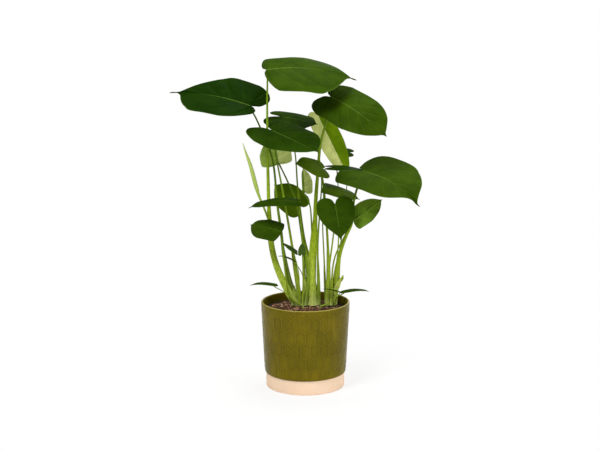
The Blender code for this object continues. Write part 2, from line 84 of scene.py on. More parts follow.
# Leaves
BLADE_THICKNESS = 0.7
EDGE_THICKNESS = 0.3
RIB_DEPTH = 1.5  # of the midrib under the blade, in radii of the stalk's neck
VEIN_DEPTH = 0.35  # of a lateral vein, in the same radii
GROOVE_DEPTH = 0.5  # of the groove over the midrib
GROOVE_WIDTH = 1.2
MIDRIB_STEPS = 40
VEIN_STEPS = (0.0, 0.06, 0.14, 0.28, 0.5, 0.72, 0.86, 0.94)  # rows of points between two lateral veins
SMALL_VEIN_STEPS = (0.0, 0.12, 0.5, 0.88)
ACROSS_STEPS = (0.0, 0.012, 0.028, 0.05, 0.08, 0.12, 0.17, 0.23, 0.3, 0.38, 0.46, 0.54, 0.62, 0.7, 0.78,
                0.85, 0.91, 0.955, 0.985, 1.0)
VEIN_ARC = 1.35  # how much a lateral vein leans towards the tip as it nears the edge

# Half of a heart-shaped leaf, from the notch at the stalk round the lobe to the tip. The first number runs
# along the midrib, as a share of the blade's length in front of the stalk and of the lobe's length behind
# it. The second is the share of the half width.
HALF_LEAF = (
    (-0.30, 0.05),
    (-0.72, 0.16),
    (-1.00, 0.46),
    (-0.72, 0.80),
    (0.09, 1.00),
    (0.34, 0.94),
    (0.60, 0.68),
    (0.80, 0.32),
    (0.91, 0.09),
    (1.00, 0.00),
)
HALF_LEAF_BELLY = 0.15  # where along its length this outline is widest
FAN = 0.40  # share of the ribs that spread from the stalk, not from along the midrib

# Low tones are partly painted shade, set darker on leaves that lie in shadow such as shade, and split is a
# painted highlight that pales the half catching the light.
# A blade: base is where its stalk meets it and tip the end of its drip tip. roll turns it about the line
# between them, in degrees, positive with the right-hand half down as seen from the stalk. fold is how far
# each half rises from the midrib, curl how far it turns back down by its edge, bend how far the midrib bows
# and late how much of that bow is near the tip. lobe is the length of the lobes behind the stalk and belly
# the place of the greatest width, both as shares of the blade's length. full is 1 for a blade that stays
# wide towards its tip and 0 for one that narrows early. skew slides the left half towards the tip, or below
# 0 the right half. veins is the number of lateral veins to a half, quilt the swelling between them and wave
# the waviness of the edge. tone runs from 0, old and dark, to 1, young and pale, and split is how much paler
# the left half is.
#
# Its stalk: crown names the clump that it grows from and foot is its place there, in the crown's radii.
# route holds its points up to base, girth is its radius at the foot and neck the one at the blade. sheath is
# the share of it that is sheathed, and green runs from 0, bright, to 1, deep green.
#
# The heights of base, tip and route are above the crowns.
Leaf = namedtuple(
    "Leaf",
    "name base tip width lobe belly roll bend crown foot girth neck tone quilt wave route "
    "skew fold curl late full veins split sheath green",
    defaults=(0.0, 0.0, 10.0, 1.0, 1.0, 8, 0.0, 0.35, 0.25),
)
STALK_TAPER = 1.2  # above 1, a stalk narrows faster near its foot
NARROWING = 1.3  # how much a blade that isn't full narrows ahead of its widest place

LEAVES = (
    Leaf("top", (-80, 0, 501), (107, 10, 479), 142, 0.07, 0.36, 27, 35, "left", (-0.52, 0.16), 6.2, 1.8, 0.42,
         1.4, 2.2, ((-39, 5, 33), (-62, 1, 86), (-73, 2, 135), (-77, 5, 195), (-79, 8, 269), (-80, 4, 354),
         (-80, 5, 438)), skew=-0.15, full=0.1, fold=-5, curl=12, veins=11, sheath=0.46, green=0.1),
    Leaf("left", (-116, 15, 425), (-292, 80, 448), 118, 0.17, 0.24, -36, 30, "left", (0.05, 0.52), 4.0, 1.6,
         0.0, 2.8, 1.6, ((-32, 16, 41), (-46, 18, 104), (-52, 18, 159), (-60, 18, 217), (-70, 20, 312),
         (-100, 24, 389)), skew=0.26, full=0.0, fold=9, curl=8, veins=11, sheath=0.3, green=0.8),
    Leaf("upper_right", (53, 10, 444), (165, -70, 369), 101, 0.18, 0.35, 42, 42, "middle", (-0.44, -0.22),
         6.8, 1.8, 0.46, 1.6, 1.6, ((14, -1, 44), (16, 0, 99), (20, 5, 162), (22, 10, 226), (26, 20, 279),
         (31, 28, 336), (40, 26, 378)), skew=0.09, fold=-3, late=1.2, veins=10, sheath=0.42, green=0.05),
    # shade's low tone is partly painted shade.
    Leaf("shade", (-68, -8, 375), (26, -95, 340), 112, 0.35, 0.25, 17, 2, "left", (0.1, -0.1), 3.4, 1.5, 0.22,
         1.2, 1.2, ((-20, -4, 74), (-32, -8, 154), (-48, -8, 248), (-62, -6, 324)), skew=0.12, fold=2, curl=8,
         veins=10, green=0.4),
    Leaf("middle", (-50, 76, 397), (26, 50, 383), 80, 0.44, 0.32, 22, 12, "middle", (0.42, 0.48), 3.0, 1.3,
         0.24, 0.7, 1.0, ((14, 24, 74), (-3, 24, 144), (-16, 34, 244), (-24, 74, 328)), fold=-5, curl=15,
         green=0.35),
    Leaf("pale_back", (-58, 38, 300), (-66, 28, 369), 74, 0.06, 0.2, 60, 10, "left", (0.57, -0.36), 4.0, 1.5,
         0.9, 1.2, 1.6, ((6, -6, 64), (-3, 2, 120), (-18, 14, 215), (-36, 28, 259)), fold=12, curl=0,
         split=0.1, sheath=0.45, green=0.75),
    # hanging's split paints one half paler as a painted highlight.
    Leaf("hanging", (29, 102, 396), (96, 96, 260), 54, 0.1, 0.35, 80, 10, "right", (-0.35, -0.1), 3.6, 1.6,
         0.88, 0.8, 1.0, ((50, 32, 84), (42, 66, 224), (28, 106, 325)), fold=15, curl=0, split=-0.2,
         sheath=0.3),
    Leaf("back_right", (95, 118, 315), (45, 122, 316), 36, 0.25, 0.2, -25, 15, "right", (-0.1, 0.71), 1.8,
         1.0, 0.3, 0.3, 0.5, ((74, 46, 104), (90, 100, 224)), veins=6),
    Leaf("low_left", (-51, -36, 166), (-116, -26, 179), 58, 0.05, 0.4, -38, 20, "left", (-0.42, -0.47), 2.4,
         1.2, 0.42, 0.6, 1.0, ((-34, -18, 24), (-43, -42, 84), (-48, -44, 134)), skew=0.15, fold=-8,
         green=0.5),
    Leaf("centre", (35, -13, 297), (-22, -50, 311), 60, 0.2, 0.25, -36, 20, "middle", (0.58, -0.22), 2.6, 1.2,
         0.57, 0.6, 0.8, ((26, -12, 124), (30, -14, 204), (34, -14, 264)), curl=12, green=0.7),
    Leaf("right", (120, 0, 290), (232, -100, 229), 146, 0.2, 0.26, 20, 48, "right", (0.42, 0.05), 5.4, 1.9,
         0.5, 2.0, 5.0, ((66, 4, 42), (72, -16, 109), (84, -28, 152), (97, -36, 186), (101, -28, 229),
         (112, -6, 264)), skew=0.16, full=0.6, fold=8, curl=12, late=1.8, veins=11, sheath=0.34, green=0.3),
    Leaf("right_back", (68, 54, 290), (145, 60, 276), 40, 0.35, 0.2, 10, 20, "right", (0.38, 0.7), 2.0, 1.1,
         0.14, 0.4, 0.6, ((70, 36, 104), (73, 58, 204)), veins=6),
    Leaf("olive", (40, 24, 252), (116, 14, 226), 60, 0.05, 0.35, 14, 15, "right", (-0.63, 0.38), 2.2, 1.1,
         0.58, 0.6, 0.8, ((40, 20, 103), (37, 26, 174)), green=0.4),
    Leaf("front", (61, -48, 226), (73, -73, 155), 86, 0.2, 0.15, 5, 10, "right", (-0.45, -0.75), 2.6, 1.2,
         0.38, 0.6, 0.8, ((50, -16, 80), (57, -32, 144), (61, -47, 194)), fold=8, curl=15),
    Leaf("grey_right", (102, -22, 188), (161, -24, 233), 48, 0.06, 0.32, -110, 15, "right", (0.08, -0.75),
         2.4, 1.2, 0.6, 0.7, 1.0, ((60, -4, 94), (84, -10, 154))),
    Leaf("side_left", (-18, -30, 229), (-119, -40, 217), 38, 0.1, 0.35, -18, 35, "left", (0.52, 0.16), 2.4,
         1.1, 0.36, 0.5, 0.8, ((-7, -14, 144), (-12, -28, 199)), fold=5, curl=25),
    Leaf("dark_back", (-14, 56, 206), (-68, 66, 251), 66, 0.2, 0.3, -55, 10, "left", (0.62, 0.52), 2.4, 1.1,
         0.58, 0.8, 0.8, ((-5, 46, 156),)),
    Leaf("half_open", (-1, 15, 243), (-5, 10, 295), 34, 0.1, 0.3, 0, 8, "middle", (-0.28, 0.64), 2.4, 1.4,
         0.86, 0.5, 0.6, ((13, 12, 174), (8, 15, 219)), fold=30, curl=0, veins=6, split=0.14),
    Leaf("small_a", (-20, -30, 122), (-51, -36, 142), 22, 0.15, 0.25, -20, 15, "left", (-0.05, -0.62), 1.6,
         0.8, 0.36, 0.3, 0.4, ((-14, -26, 74),), veins=6),
    Leaf("small_b", (-8, -26, 116), (-7, -30, 141), 16, 0.15, 0.25, 0, 15, "left", (0.31, -0.73), 1.4, 0.8,
         0.3, 0.2, 0.3, ((-5, -18, 74),), veins=6),
    Leaf("small_c", (-22, -19, 100), (-58, -21, 111), 16, 0.15, 0.25, 0, 40, "left", (0.21, -0.47), 1.4, 0.8,
         0.36, 0.2, 0.3, ((-4, -2, 54), (-13, -12, 82)), curl=20, veins=6),
    Leaf("rim_small", (74, -16, 32), (37, -22, 40), 14, 0.15, 0.25, 0, 20, "right", (0.6, -0.6), 1.3, 0.7,
         0.4, 0.2, 0.3, ((67, -12, 18),), curl=15, veins=6),
    Leaf("seedling_left", (-64, -50, 57), (-116, -58, 56), 26, 0.12, 0.3, 0, 35, "seedling_left", (0, 0), 1.3,
         0.8, 0.42, 0.3, 0.4, ((-20, -33, 14), (-42, -42, 36)), curl=20, veins=6),
    Leaf("seedling_right", (79, -50, 42), (133, -58, 43), 26, 0.12, 0.3, 0, 35, "seedling_right", (0, 0), 1.3,
         0.8, 0.42, 0.3, 0.4, ((48, -36, 11), (64, -43, 27)), curl=20, veins=6),
)

# The rolled new leaf: points from its foot on the top leaf's stalk to its tip, each with its radius
NEW_LEAF = (
    ((-80, -3, 190), 2.0),
    ((-86, -8, 208), 2.2),
    ((-97, -12, 236), 2.6),
    ((-104, -13, 259), 4.6),
    ((-115, -16, 302), 4.2),
    ((-124, -18, 329), 2.4),
    ((-131, -20, 351), 0.6),
)
NEW_LEAF_ROLL = 2  # the knot where the stalk ends and the rolled blade starts
ROLL_START = 0.35  # that place as a share of the whole, for its colours
ROLL_THICKNESS = 0.45
ROLL_FACES = (1.0, -0.5, 0.2)  # where the roll's outer edge faces
ROLL_STREAKS = 170.0  # length over which its streaks run

SMALL_BLADE = 40.0  # blades narrower than this get fewer rows of points

# Stalks
BED = 3.0  # how far a stalk runs straight up from its crown, and half as far as it does below its blade
RING_SPACING = 5.0  # between a stalk's rings of points
KNUCKLE_DROP = 9.0  # from the blade to the middle of the stalk's knuckle
KNUCKLE_LENGTH = 5.5
KNUCKLE_BULGE = 0.28  # in radii of the stalk's neck
FOOT_FLARE = 0.22  # how much a stalk swells at its very foot, as a share of its girth
FLARE_HEIGHT = 9.0
SECTION_ANGLES = (0, 14, 28, 38, 46, 54, 66, 84, 108, 132, 156, 180, 204, 228, 252, 276, 294, 306, 314, 322,
                  332, 346)

# Torn sheath ends: the leaf whose stalk each stands on, how far up that stalk, height, half width, heading
# in degrees and how far its end leans out as a share of its height
FLAPS = (
    ("right", 0.06, 52.0, 9.5, -45.0, 0.42),
    ("upper_right", 0.0, 58.0, 7.0, -75.0, 0.05),
    ("top", 0.0, 40.0, 6.0, -110.0, 0.08),
    ("hanging", 0.0, 34.0, 4.0, -80.0, 0.15),
    ("pale_back", 0.0, 66.0, 6.0, -95.0, 0.08),
)
FLAP_THICKNESS = 0.35
FLAP_CUP = 0.5  # how deep it curls about its stalk, as a share of its half width
FLAP_TEAR = 9.0  # depth of the notches torn in its end

SHEATH_BULK = 1.35  # how much the sheathed length is thicker than the bare stalk

# Light and camera, in metres, watts and degrees. A softbox has its place, width, height and power.
SKY = 0.26  # strength of the light from all round
WHITE = (1.0, 1.0, 1.0, 1.0)
SOFTBOXES = {
    "key_softbox": ((-0.9, -1.2, 2.2), 0.9, 0.9, 44.0),
    "fill_softbox": ((1.7, -1.2, 1.1), 1.0, 1.4, 20.0),
    "top_softbox": ((0.2, 0.4, 2.4), 1.2, 1.0, 26.0),
    "back_softbox": ((0.9, 1.9, 1.2), 1.4, 1.4, 12.0),
}
LIT_POINT = (0.0, 0.0, 0.35)  # where the softboxes face
CAMERA_PLACE = (-0.0115, -2.5, 0.799)
CAMERA_DOWN = 10.18
SENSOR_WIDTH = 36.0
FOCAL_LENGTH = 71.8
FLOOR_REACH = 60.0


def crown_top():
    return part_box("crown_left")[1].z / MM


def lifted(place):
    """A place given above the crowns, measured from the ground."""
    return (place[0], place[1], place[2] + crown_top())


def above_ground(leaf):
    return leaf._replace(base=lifted(leaf.base), tip=lifted(leaf.tip), route=tuple(map(lifted, leaf.route)))


# Nodes


def colour(value):
    return value if isinstance(value, bpy.types.NodeSocket) else (*value, 1.0)


def spaced(values):
    """Values by socket name, from names that hold _ for a space."""
    return {name.replace("_", " "): value for name, value in values.items()}


class Nodes:
    """Makes the nodes of one material, node group or world. A number, colour or place that it is given is a
    plain value or another node's output."""

    def __init__(self, tree):
        self.tree = tree

    def join(self, node, inputs):
        """Sets or links a node's inputs, by socket name or number."""
        for socket, value in inputs.items():
            if isinstance(value, bpy.types.NodeSocket):
                self.tree.links.new(value, node.inputs[socket])
            else:
                node.inputs[socket].default_value = value
        return node.outputs

    def add(self, kind, inputs=None, **settings):
        """Makes a node and returns its outputs."""
        node = self.tree.nodes.new("ShaderNode" + kind)
        for name, value in settings.items():
            setattr(node, name, value)
        return self.join(node, inputs or {})

    def calc(self, operation, *values):
        return self.add("Math", dict(enumerate(values)), operation=operation)[0]

    def fade(self, value, start, end, low=0.0, high=1.0):
        """Rises smoothly from low where value is start to high where it is end."""
        inputs = {"Value": value, "From Min": start, "From Max": end, "To Min": low, "To Max": high}
        return self.add("MapRange", inputs, interpolation_type="SMOOTHSTEP")[0]

    def blend(self, share, first, second, how="MIX"):
        """Colours first and second mixed by share."""
        inputs = {0: share, 6: colour(first), 7: colour(second)}
        return self.add("Mix", inputs, data_type="RGBA", blend_type=how)[2]

    def tint(self, paint, factors):
        return self.blend(1.0, paint, factors, "MULTIPLY")

    def over(self, mask, strength, under, paint):
        """paint laid over under where mask is 1, as much as strength says."""
        return self.blend(self.calc("MULTIPLY", mask, strength), under, paint)

    def ramp(self, value, *stops):
        """A colour for each value, from stops of (value, colour)."""
        node = self.tree.nodes.new("ShaderNodeValToRGB")
        while len(node.color_ramp.elements) < len(stops):
            node.color_ramp.elements.new(0.5)
        for element, (place, shade) in zip(node.color_ramp.elements, stops):
            element.position = place
            element.color = colour(shade)
        return self.join(node, {"Fac": value})["Color"]

    def cloud(self, where, scale, detail=3.0, roughness=0.5):
        inputs = {"Vector": where, "Scale": scale, "Detail": detail, "Roughness": roughness}
        return self.add("TexNoise", inputs)["Fac"]

    def fibres(self, x, y, z, detail=3.0):
        """Clouds stretched along the piece: x, y and z are how many there are to a metre."""
        return self.cloud(self.add("Mapping", {"Vector": self.here(), "Scale": (x, y, z)})[0], 1.0, detail)

    def mark(self, name):
        """A mesh attribute's vector, and its parts."""
        vector = self.add("Attribute", attribute_name=name)["Vector"]
        return vector, *self.add("SeparateXYZ", {0: vector})

    def here(self):
        return self.add("TexCoord")["Object"]

    def group(self, name, **inputs):
        """The outputs of a shared node group."""
        node = self.tree.nodes.new("ShaderNodeGroup")
        node.node_tree = bpy.data.node_groups[name]
        return self.join(node, spaced(inputs))


class Finish(Nodes):
    """Makes a material. values are plain values of its shader."""

    def __init__(self, name, **values):
        self.material = bpy.data.materials.new(name)
        self.material.use_nodes = True
        super().__init__(self.material.node_tree)
        self.shader = self.tree.nodes["Principled BSDF"]
        self.join(self.shader, spaced(values))

    def done(self, paint, roughness, height=None, strength=0.3, distance=0.0005):
        """Links the colour, roughness and bump to the shader, and returns the material."""
        self.join(self.shader, {"Base Color": paint, "Roughness": roughness})
        if height is not None:
            bump = self.add("Bump", {"Strength": strength, "Distance": distance, "Height": height})
            self.join(self.shader, {"Normal": bump[0]})
        return self.material


def new_group(name, inputs, outputs):
    """A shared node group: its nodes, its inputs and the node that its masks go to. Each input has its usual
    number, or None for a place."""
    tree = bpy.data.node_groups.new(name, "ShaderNodeTree")
    for label, usual in inputs.items():
        kind = "NodeSocketVector" if usual is None else "NodeSocketFloat"
        socket = tree.interface.new_socket(label, in_out="INPUT", socket_type=kind)
        if usual is not None:
            socket.default_value = usual
    for label in outputs:
        tree.interface.new_socket(label, in_out="OUTPUT", socket_type="NodeSocketFloat")
    return Nodes(tree), tree.nodes.new("NodeGroupInput").outputs, tree.nodes.new("NodeGroupOutput")


def vein_pattern():
    """A blade's midrib, lateral veins and edge. Place holds the count of lateral veins passed and the share
    of the way from the midrib to the edge."""
    usual = {"Place": None, "Vein Width": 0.05, "Midrib Width": 0.03}
    mix, given, masks = new_group("vein_pattern", usual, ("Midrib", "Laterals", "Edge"))
    count, share, _ = mix.add("SeparateXYZ", {0: given["Place"]})
    beside = mix.calc("PINGPONG", count, 0.5)
    width = mix.calc("DIVIDE", given["Vein Width"], mix.calc("ADD", share, 0.25))
    line = mix.fade(mix.calc("DIVIDE", beside, width), 0.0, 1.0, 1.0, 0.0)
    rib = mix.calc("DIVIDE", share, given["Midrib Width"])
    mix.join(masks, {
        "Midrib": mix.fade(rib, 0.3, 1.0, 1.0, 0.0),
        "Laterals": mix.calc("MULTIPLY", line, mix.fade(share, 0.75, 1.0, 1.0, 0.25)),
        "Edge": mix.fade(share, 0.975, 0.997),
    })


def leaf_skin():
    """The fine net of small veins and cells that covers a leaf."""
    usual = {"Where": None, "Cells": 420.0, "Mottle Scale": 30.0}
    mix, given, masks = new_group("leaf_skin", usual, ("Net", "Mottle", "Grain"))
    where = given["Where"]
    warped = mix.add("TexNoise", {"Vector": where, "Scale": 60.0, "Detail": 2.0})["Color"]
    shift = mix.add("VectorMath", {0: warped, "Scale": 0.004}, operation="SCALE")[0]
    moved = mix.add("VectorMath", {0: where, 1: shift}, operation="ADD")[0]
    cells = mix.add("TexVoronoi", {"Vector": moved, "Scale": given["Cells"]}, feature="DISTANCE_TO_EDGE")
    mix.join(masks, {
        "Net": mix.fade(cells["Distance"], 0.0, 0.12, 1.0, 0.0),
        "Mottle": mix.cloud(where, given["Mottle Scale"], 4.0, 0.6),
        "Grain": mix.cloud(where, 1500.0, 2.0),
    })


def long_streaks():
    """Streaks along a stalk. Place holds the direction round the stalk and the distance along it."""
    usual = {"Place": None, "Count": 6.0, "Length": 0.02}
    mix, given, masks = new_group("long_streaks", usual, ("Streak", "Fine"))
    x, y, along = mix.add("SeparateXYZ", {0: given["Place"]})
    where = mix.add("CombineXYZ", {0: x, 1: y, 2: mix.calc("MULTIPLY", along, given["Length"])})[0]
    finer = mix.calc("MULTIPLY", given["Count"], 4.0)
    mix.join(masks, {"Streak": mix.cloud(where, given["Count"], 2.0), "Fine": mix.cloud(where, finer, 2.0)})


def specks():
    """Small spots scattered over a surface, and the soft cloudiness beneath them."""
    usual = {"Where": None, "Spots": 300.0, "Clouds": 12.0, "Size": 0.1}
    mix, given, masks = new_group("specks", usual, ("Spot", "Cloud", "Grit"))
    spots = mix.add("TexVoronoi", {"Vector": given["Where"], "Scale": given["Spots"]})["Distance"]
    mix.join(masks, {
        "Spot": mix.fade(mix.calc("DIVIDE", spots, given["Size"]), 0.5, 1.0, 1.0, 0.0),
        "Cloud": mix.cloud(given["Where"], given["Clouds"], 4.0, 0.6),
        "Grit": mix.cloud(given["Where"], 900.0),
    })


# Materials


def leaf_top_material():
    mix = Finish("leaf_top", Specular_IOR_Level=0.008)
    place, _, _, tone = mix.mark("leaf_place")
    veins = mix.group("vein_pattern", Place=place)
    skin = mix.group("leaf_skin", Where=mix.here())
    # The dark end of this ramp is partly painted shade on leaves that lie in shadow.
    flesh = mix.ramp(tone, (0.0, (0.006, 0.022, 0.0006)), (0.25, (0.014, 0.038, 0.0008)),
                     (0.5, (0.026, 0.056, 0.0016)), (0.8, (0.16, 0.29, 0.004)), (1.0, (0.56, 0.62, 0.19)))
    mottled = mix.blend(mix.fade(skin["Mottle"], 0.35, 0.65, 0.0, 0.8), flesh,
                        mix.tint(flesh, (1.55, 1.42, 1.8)))
    deep = mix.tint(mottled, (0.72, 0.78, 0.7))
    netted = mix.over(skin["Net"], 0.5, mottled, deep)
    pale = mix.tint(flesh, (2.1, 1.8, 2.4))
    laterals = mix.over(veins["Laterals"], 0.36, netted, pale)
    midrib = mix.over(veins["Midrib"], 0.7, laterals, (0.09, 0.165, 0.02))
    rim = mix.over(veins["Edge"], 0.4, midrib, (0.12, 0.2, 0.03))
    roughness = mix.fade(skin["Mottle"], 0.3, 0.75, 0.34, 0.5)
    height = mix.calc("ADD", mix.calc("MULTIPLY", skin["Net"], -0.5),
                      mix.calc("MULTIPLY", skin["Grain"], 0.35))
    return mix.done(rim, roughness, height, 0.35, 0.0003)


def leaf_under_material():
    mix = Finish("leaf_under", Specular_IOR_Level=0.05)
    place, _, _, tone = mix.mark("leaf_place")
    veins = mix.group("vein_pattern", Place=place, Vein_Width=0.08)
    skin = mix.group("leaf_skin", Where=mix.here(), Cells=300.0)
    flesh = mix.ramp(tone, (0.0, (0.025, 0.058, 0.006)), (0.5, (0.062, 0.118, 0.012)),
                     (0.8, (0.19, 0.34, 0.008)), (1.0, (0.60, 0.66, 0.22)))
    mottled = mix.blend(mix.fade(skin["Mottle"], 0.35, 0.7, 0.0, 0.6), flesh,
                        mix.tint(flesh, (1.3, 1.25, 1.5)))
    netted = mix.over(skin["Net"], 0.4, mottled, mix.tint(mottled, (0.7, 0.75, 0.7)))
    pale = mix.tint(flesh, (1.7, 1.6, 1.7))
    laterals = mix.over(veins["Laterals"], 0.6, netted, pale)
    midrib = mix.over(veins["Midrib"], 0.8, laterals, (0.22, 0.32, 0.07))
    roughness = mix.fade(skin["Mottle"], 0.3, 0.75, 0.5, 0.62)
    return mix.done(midrib, roughness, skin["Net"], 0.4, 0.0004)


def stalk_material():
    """Whitish at the foot, yellow-green along the sheath, greener towards the blade, with painted shade and
    highlights as streaks.
    """
    mix = Finish("stalk_skin", Specular_IOR_Level=0.08)
    place, *_ = mix.mark("stalk_place")
    _, share, groove, tone = mix.mark("stalk_look")
    streaks = mix.group("long_streaks", Place=place)
    body = mix.ramp(share, (0.0, (0.62, 0.68, 0.20)), (0.08, (0.44, 0.54, 0.06)), (0.35, (0.36, 0.48, 0.015)),
                    (0.7, (0.25, 0.38, 0.016)), (1.0, (0.15, 0.26, 0.012)))
    dark = mix.tint(body, (0.38, 0.48, 0.35))
    toned = mix.blend(tone, body, dark)
    # Painted shade: dark streaks along the stalk stand in for the shading between overlapping stalks.
    shade = mix.tint(toned, (0.36, 0.50, 0.30))
    streak_shaded = mix.blend(mix.fade(streaks["Streak"], 0.47, 0.60, 0.0, 0.85), toned, shade)
    # Painted highlights: pale fine lines along the stalk stand in for glints of light on it.
    light = mix.tint(toned, (1.55, 1.42, 1.6))
    lined = mix.blend(mix.fade(streaks["Fine"], 0.52, 0.66, 0.0, 0.65), streak_shaded, light)
    edged = mix.over(groove, 0.5, lined, (0.46, 0.55, 0.10))
    spots = mix.cloud(mix.here(), 260.0, 2.0)
    wear_and_highlight = mix.blend(mix.fade(spots, 0.68, 0.76, 0.0, 0.5), edged, (0.16, 0.13, 0.035))
    roughness = mix.fade(streaks["Fine"], 0.3, 0.7, 0.36, 0.52)
    return mix.done(wear_and_highlight, roughness, streaks["Fine"], 0.4, 0.0004)


def young_roll_material():
    mix = Finish("young_roll", Specular_IOR_Level=0.15)
    place, *_ = mix.mark("stalk_place")
    _, share, _, _ = mix.mark("stalk_look")
    streaks = mix.group("long_streaks", Place=place, Count=9.0)
    body = mix.ramp(share, (0.0, (0.22, 0.34, 0.03)), (0.4, (0.40, 0.52, 0.09)), (1.0, (0.52, 0.62, 0.19)))
    shade = mix.tint(body, (0.6, 0.72, 0.45))
    streak_shaded = mix.blend(mix.fade(streaks["Streak"], 0.4, 0.62, 0.0, 0.7), body, shade)
    roughness = mix.fade(streaks["Fine"], 0.3, 0.7, 0.34, 0.48)
    return mix.done(streak_shaded, roughness, streaks["Fine"], 0.3, 0.0003)


def papery_sheath_material():
    mix = Finish("papery_sheath")
    fibre = mix.fibres(900.0, 900.0, 60.0)
    patch = mix.cloud(mix.here(), 90.0)
    body = mix.ramp(patch, (0.35, (0.36, 0.48, 0.03)), (0.58, (0.48, 0.57, 0.09)), (0.75, (0.42, 0.38, 0.12)))
    lined = mix.blend(mix.fade(fibre, 0.5, 0.62, 0.0, 0.4), body, mix.tint(body, (0.6, 0.6, 0.5)))
    return mix.done(lined, mix.fade(fibre, 0.3, 0.7, 0.6, 0.85), fibre, 0.5, 0.0005)


def glaze_material():
    """Olive glaze, thin and pale on the raised lines and pooled dark beside them, with a painted rim
    highlight.
    """
    mix = Finish("olive_glaze", Coat_Weight=0.03, Coat_Roughness=0.06, Specular_IOR_Level=0.05)
    _, raised, pooled, cell = mix.mark("relief")
    dots = mix.group("specks", Where=mix.here(), Spots=420.0, Clouds=16.0, Size=0.14)
    clouded = mix.ramp(dots["Cloud"], (0.25, (0.100, 0.078, 0.002)), (0.5, (0.124, 0.098, 0.003)),
                       (0.75, (0.154, 0.120, 0.004)))
    celled = mix.blend(cell, clouded, mix.tint(clouded, (1.30, 1.26, 1.2)))
    runs = mix.fibres(230.0, 230.0, 14.0)
    darker = mix.blend(mix.fade(runs, 0.5, 0.36, 0.0, 0.3), celled, mix.tint(celled, (0.68, 0.72, 0.6)))
    # Pale vertical runs: partly the glaze's own runs, partly painted reflections of the lights.
    run = mix.blend(mix.fade(runs, 0.55, 0.68, 0.0, 0.3), darker, mix.tint(darker, (1.45, 1.35, 1.3)))
    dark = mix.tint(run, (0.62, 0.62, 0.5))
    pool = mix.over(pooled, 0.6, run, dark)
    # The raised lines take thin pale glaze; at the rim this overlay is part of the painted highlight.
    thin_glaze_and_rim_highlight = mix.over(raised, 0.45, pool, (0.235, 0.185, 0.016))
    # Painted highlight: the rim, marked above 1, is lightened towards a pale olive.
    wear_and_highlight = mix.blend(mix.fade(raised, 1.4, 2.0, 0.0, 0.6), thin_glaze_and_rim_highlight, (0.46, 0.38, 0.13))
    spotted = mix.over(dots["Spot"], 0.35, wear_and_highlight, (0.06, 0.04, 0.008))
    roughness = mix.fade(dots["Cloud"], 0.3, 0.7, 0.16, 0.28)
    return mix.done(spotted, roughness, dots["Cloud"], 0.25, 0.0008)


def clay_material():
    mix = Finish("bare_clay")
    dots = mix.group("specks", Where=mix.here(), Spots=700.0, Clouds=30.0, Size=0.16)
    body = mix.ramp(dots["Cloud"], (0.3, (0.92, 0.66, 0.46)), (0.7, (0.96, 0.72, 0.53)))
    rings = mix.fibres(4.0, 4.0, 900.0, 2.0)
    thrown = mix.blend(mix.fade(rings, 0.35, 0.65, 0.0, 0.35), body, (0.82, 0.62, 0.44))
    spotted = mix.over(dots["Spot"], 0.4, thrown, (0.42, 0.24, 0.13))
    height = mix.calc("ADD", mix.calc("MULTIPLY", rings, 0.6), mix.calc("MULTIPLY", dots["Grit"], 0.7))
    return mix.done(spotted, mix.fade(dots["Grit"], 0.3, 0.7, 0.78, 0.92), height, 0.5, 0.0005)


def black_plastic_material():
    mix = Finish("black_plastic", Specular_IOR_Level=0.15)
    dots = mix.group("specks", Where=mix.here(), Spots=500.0, Clouds=40.0)
    body = mix.ramp(dots["Cloud"], (0.3, (0.012, 0.012, 0.011)), (0.75, (0.030, 0.028, 0.024)))
    dusty = mix.over(dots["Spot"], 0.5, body, (0.10, 0.065, 0.04))
    return mix.done(dusty, mix.fade(dots["Cloud"], 0.3, 0.7, 0.42, 0.62), dots["Grit"], 0.3, 0.0003)


def soil_material():
    mix = Finish("damp_mix", Specular_IOR_Level=0.25)
    dots = mix.group("specks", Where=mix.here(), Spots=260.0, Clouds=90.0, Size=0.3)
    body = mix.ramp(dots["Cloud"], (0.3, (0.020, 0.010, 0.006)), (0.55, (0.060, 0.030, 0.016)),
                    (0.75, (0.11, 0.058, 0.034)))
    flecked = mix.over(dots["Spot"], 0.5, body, (0.16, 0.095, 0.06))
    return mix.done(flecked, mix.fade(dots["Grit"], 0.3, 0.7, 0.85, 0.97), dots["Cloud"], 0.8, 0.002)


def bark_chip_material():
    mix = Finish("bark_chip", Specular_IOR_Level=0.3)
    _, chance, _, _ = mix.mark("chip_tone")
    grain = mix.fibres(900.0, 500.0, 700.0)
    body = mix.ramp(chance, (0.0, (0.045, 0.017, 0.007)), (0.35, (0.15, 0.060, 0.024)),
                    (0.65, (0.27, 0.120, 0.055)), (0.88, (0.44, 0.230, 0.13)), (1.0, (0.62, 0.40, 0.27)))
    grained = mix.blend(mix.fade(grain, 0.4, 0.62, 0.0, 0.7), body, mix.tint(body, (0.4, 0.38, 0.36)))
    return mix.done(grained, mix.fade(grain, 0.3, 0.7, 0.7, 0.9), grain, 0.6, 0.0006)


def crown_material():
    mix = Finish("knobbly_bark")
    patch = mix.cloud(mix.here(), 120.0, 4.0)
    rings = mix.fibres(20.0, 20.0, 500.0, 2.0)
    body = mix.ramp(patch, (0.3, (0.10, 0.13, 0.03)), (0.5, (0.17, 0.15, 0.05)), (0.7, (0.10, 0.055, 0.025)))
    ringed = mix.blend(mix.fade(rings, 0.5, 0.62, 0.0, 0.6), body, (0.055, 0.03, 0.014))
    return mix.done(ringed, mix.fade(patch, 0.3, 0.7, 0.6, 0.85), rings, 0.6, 0.0008)


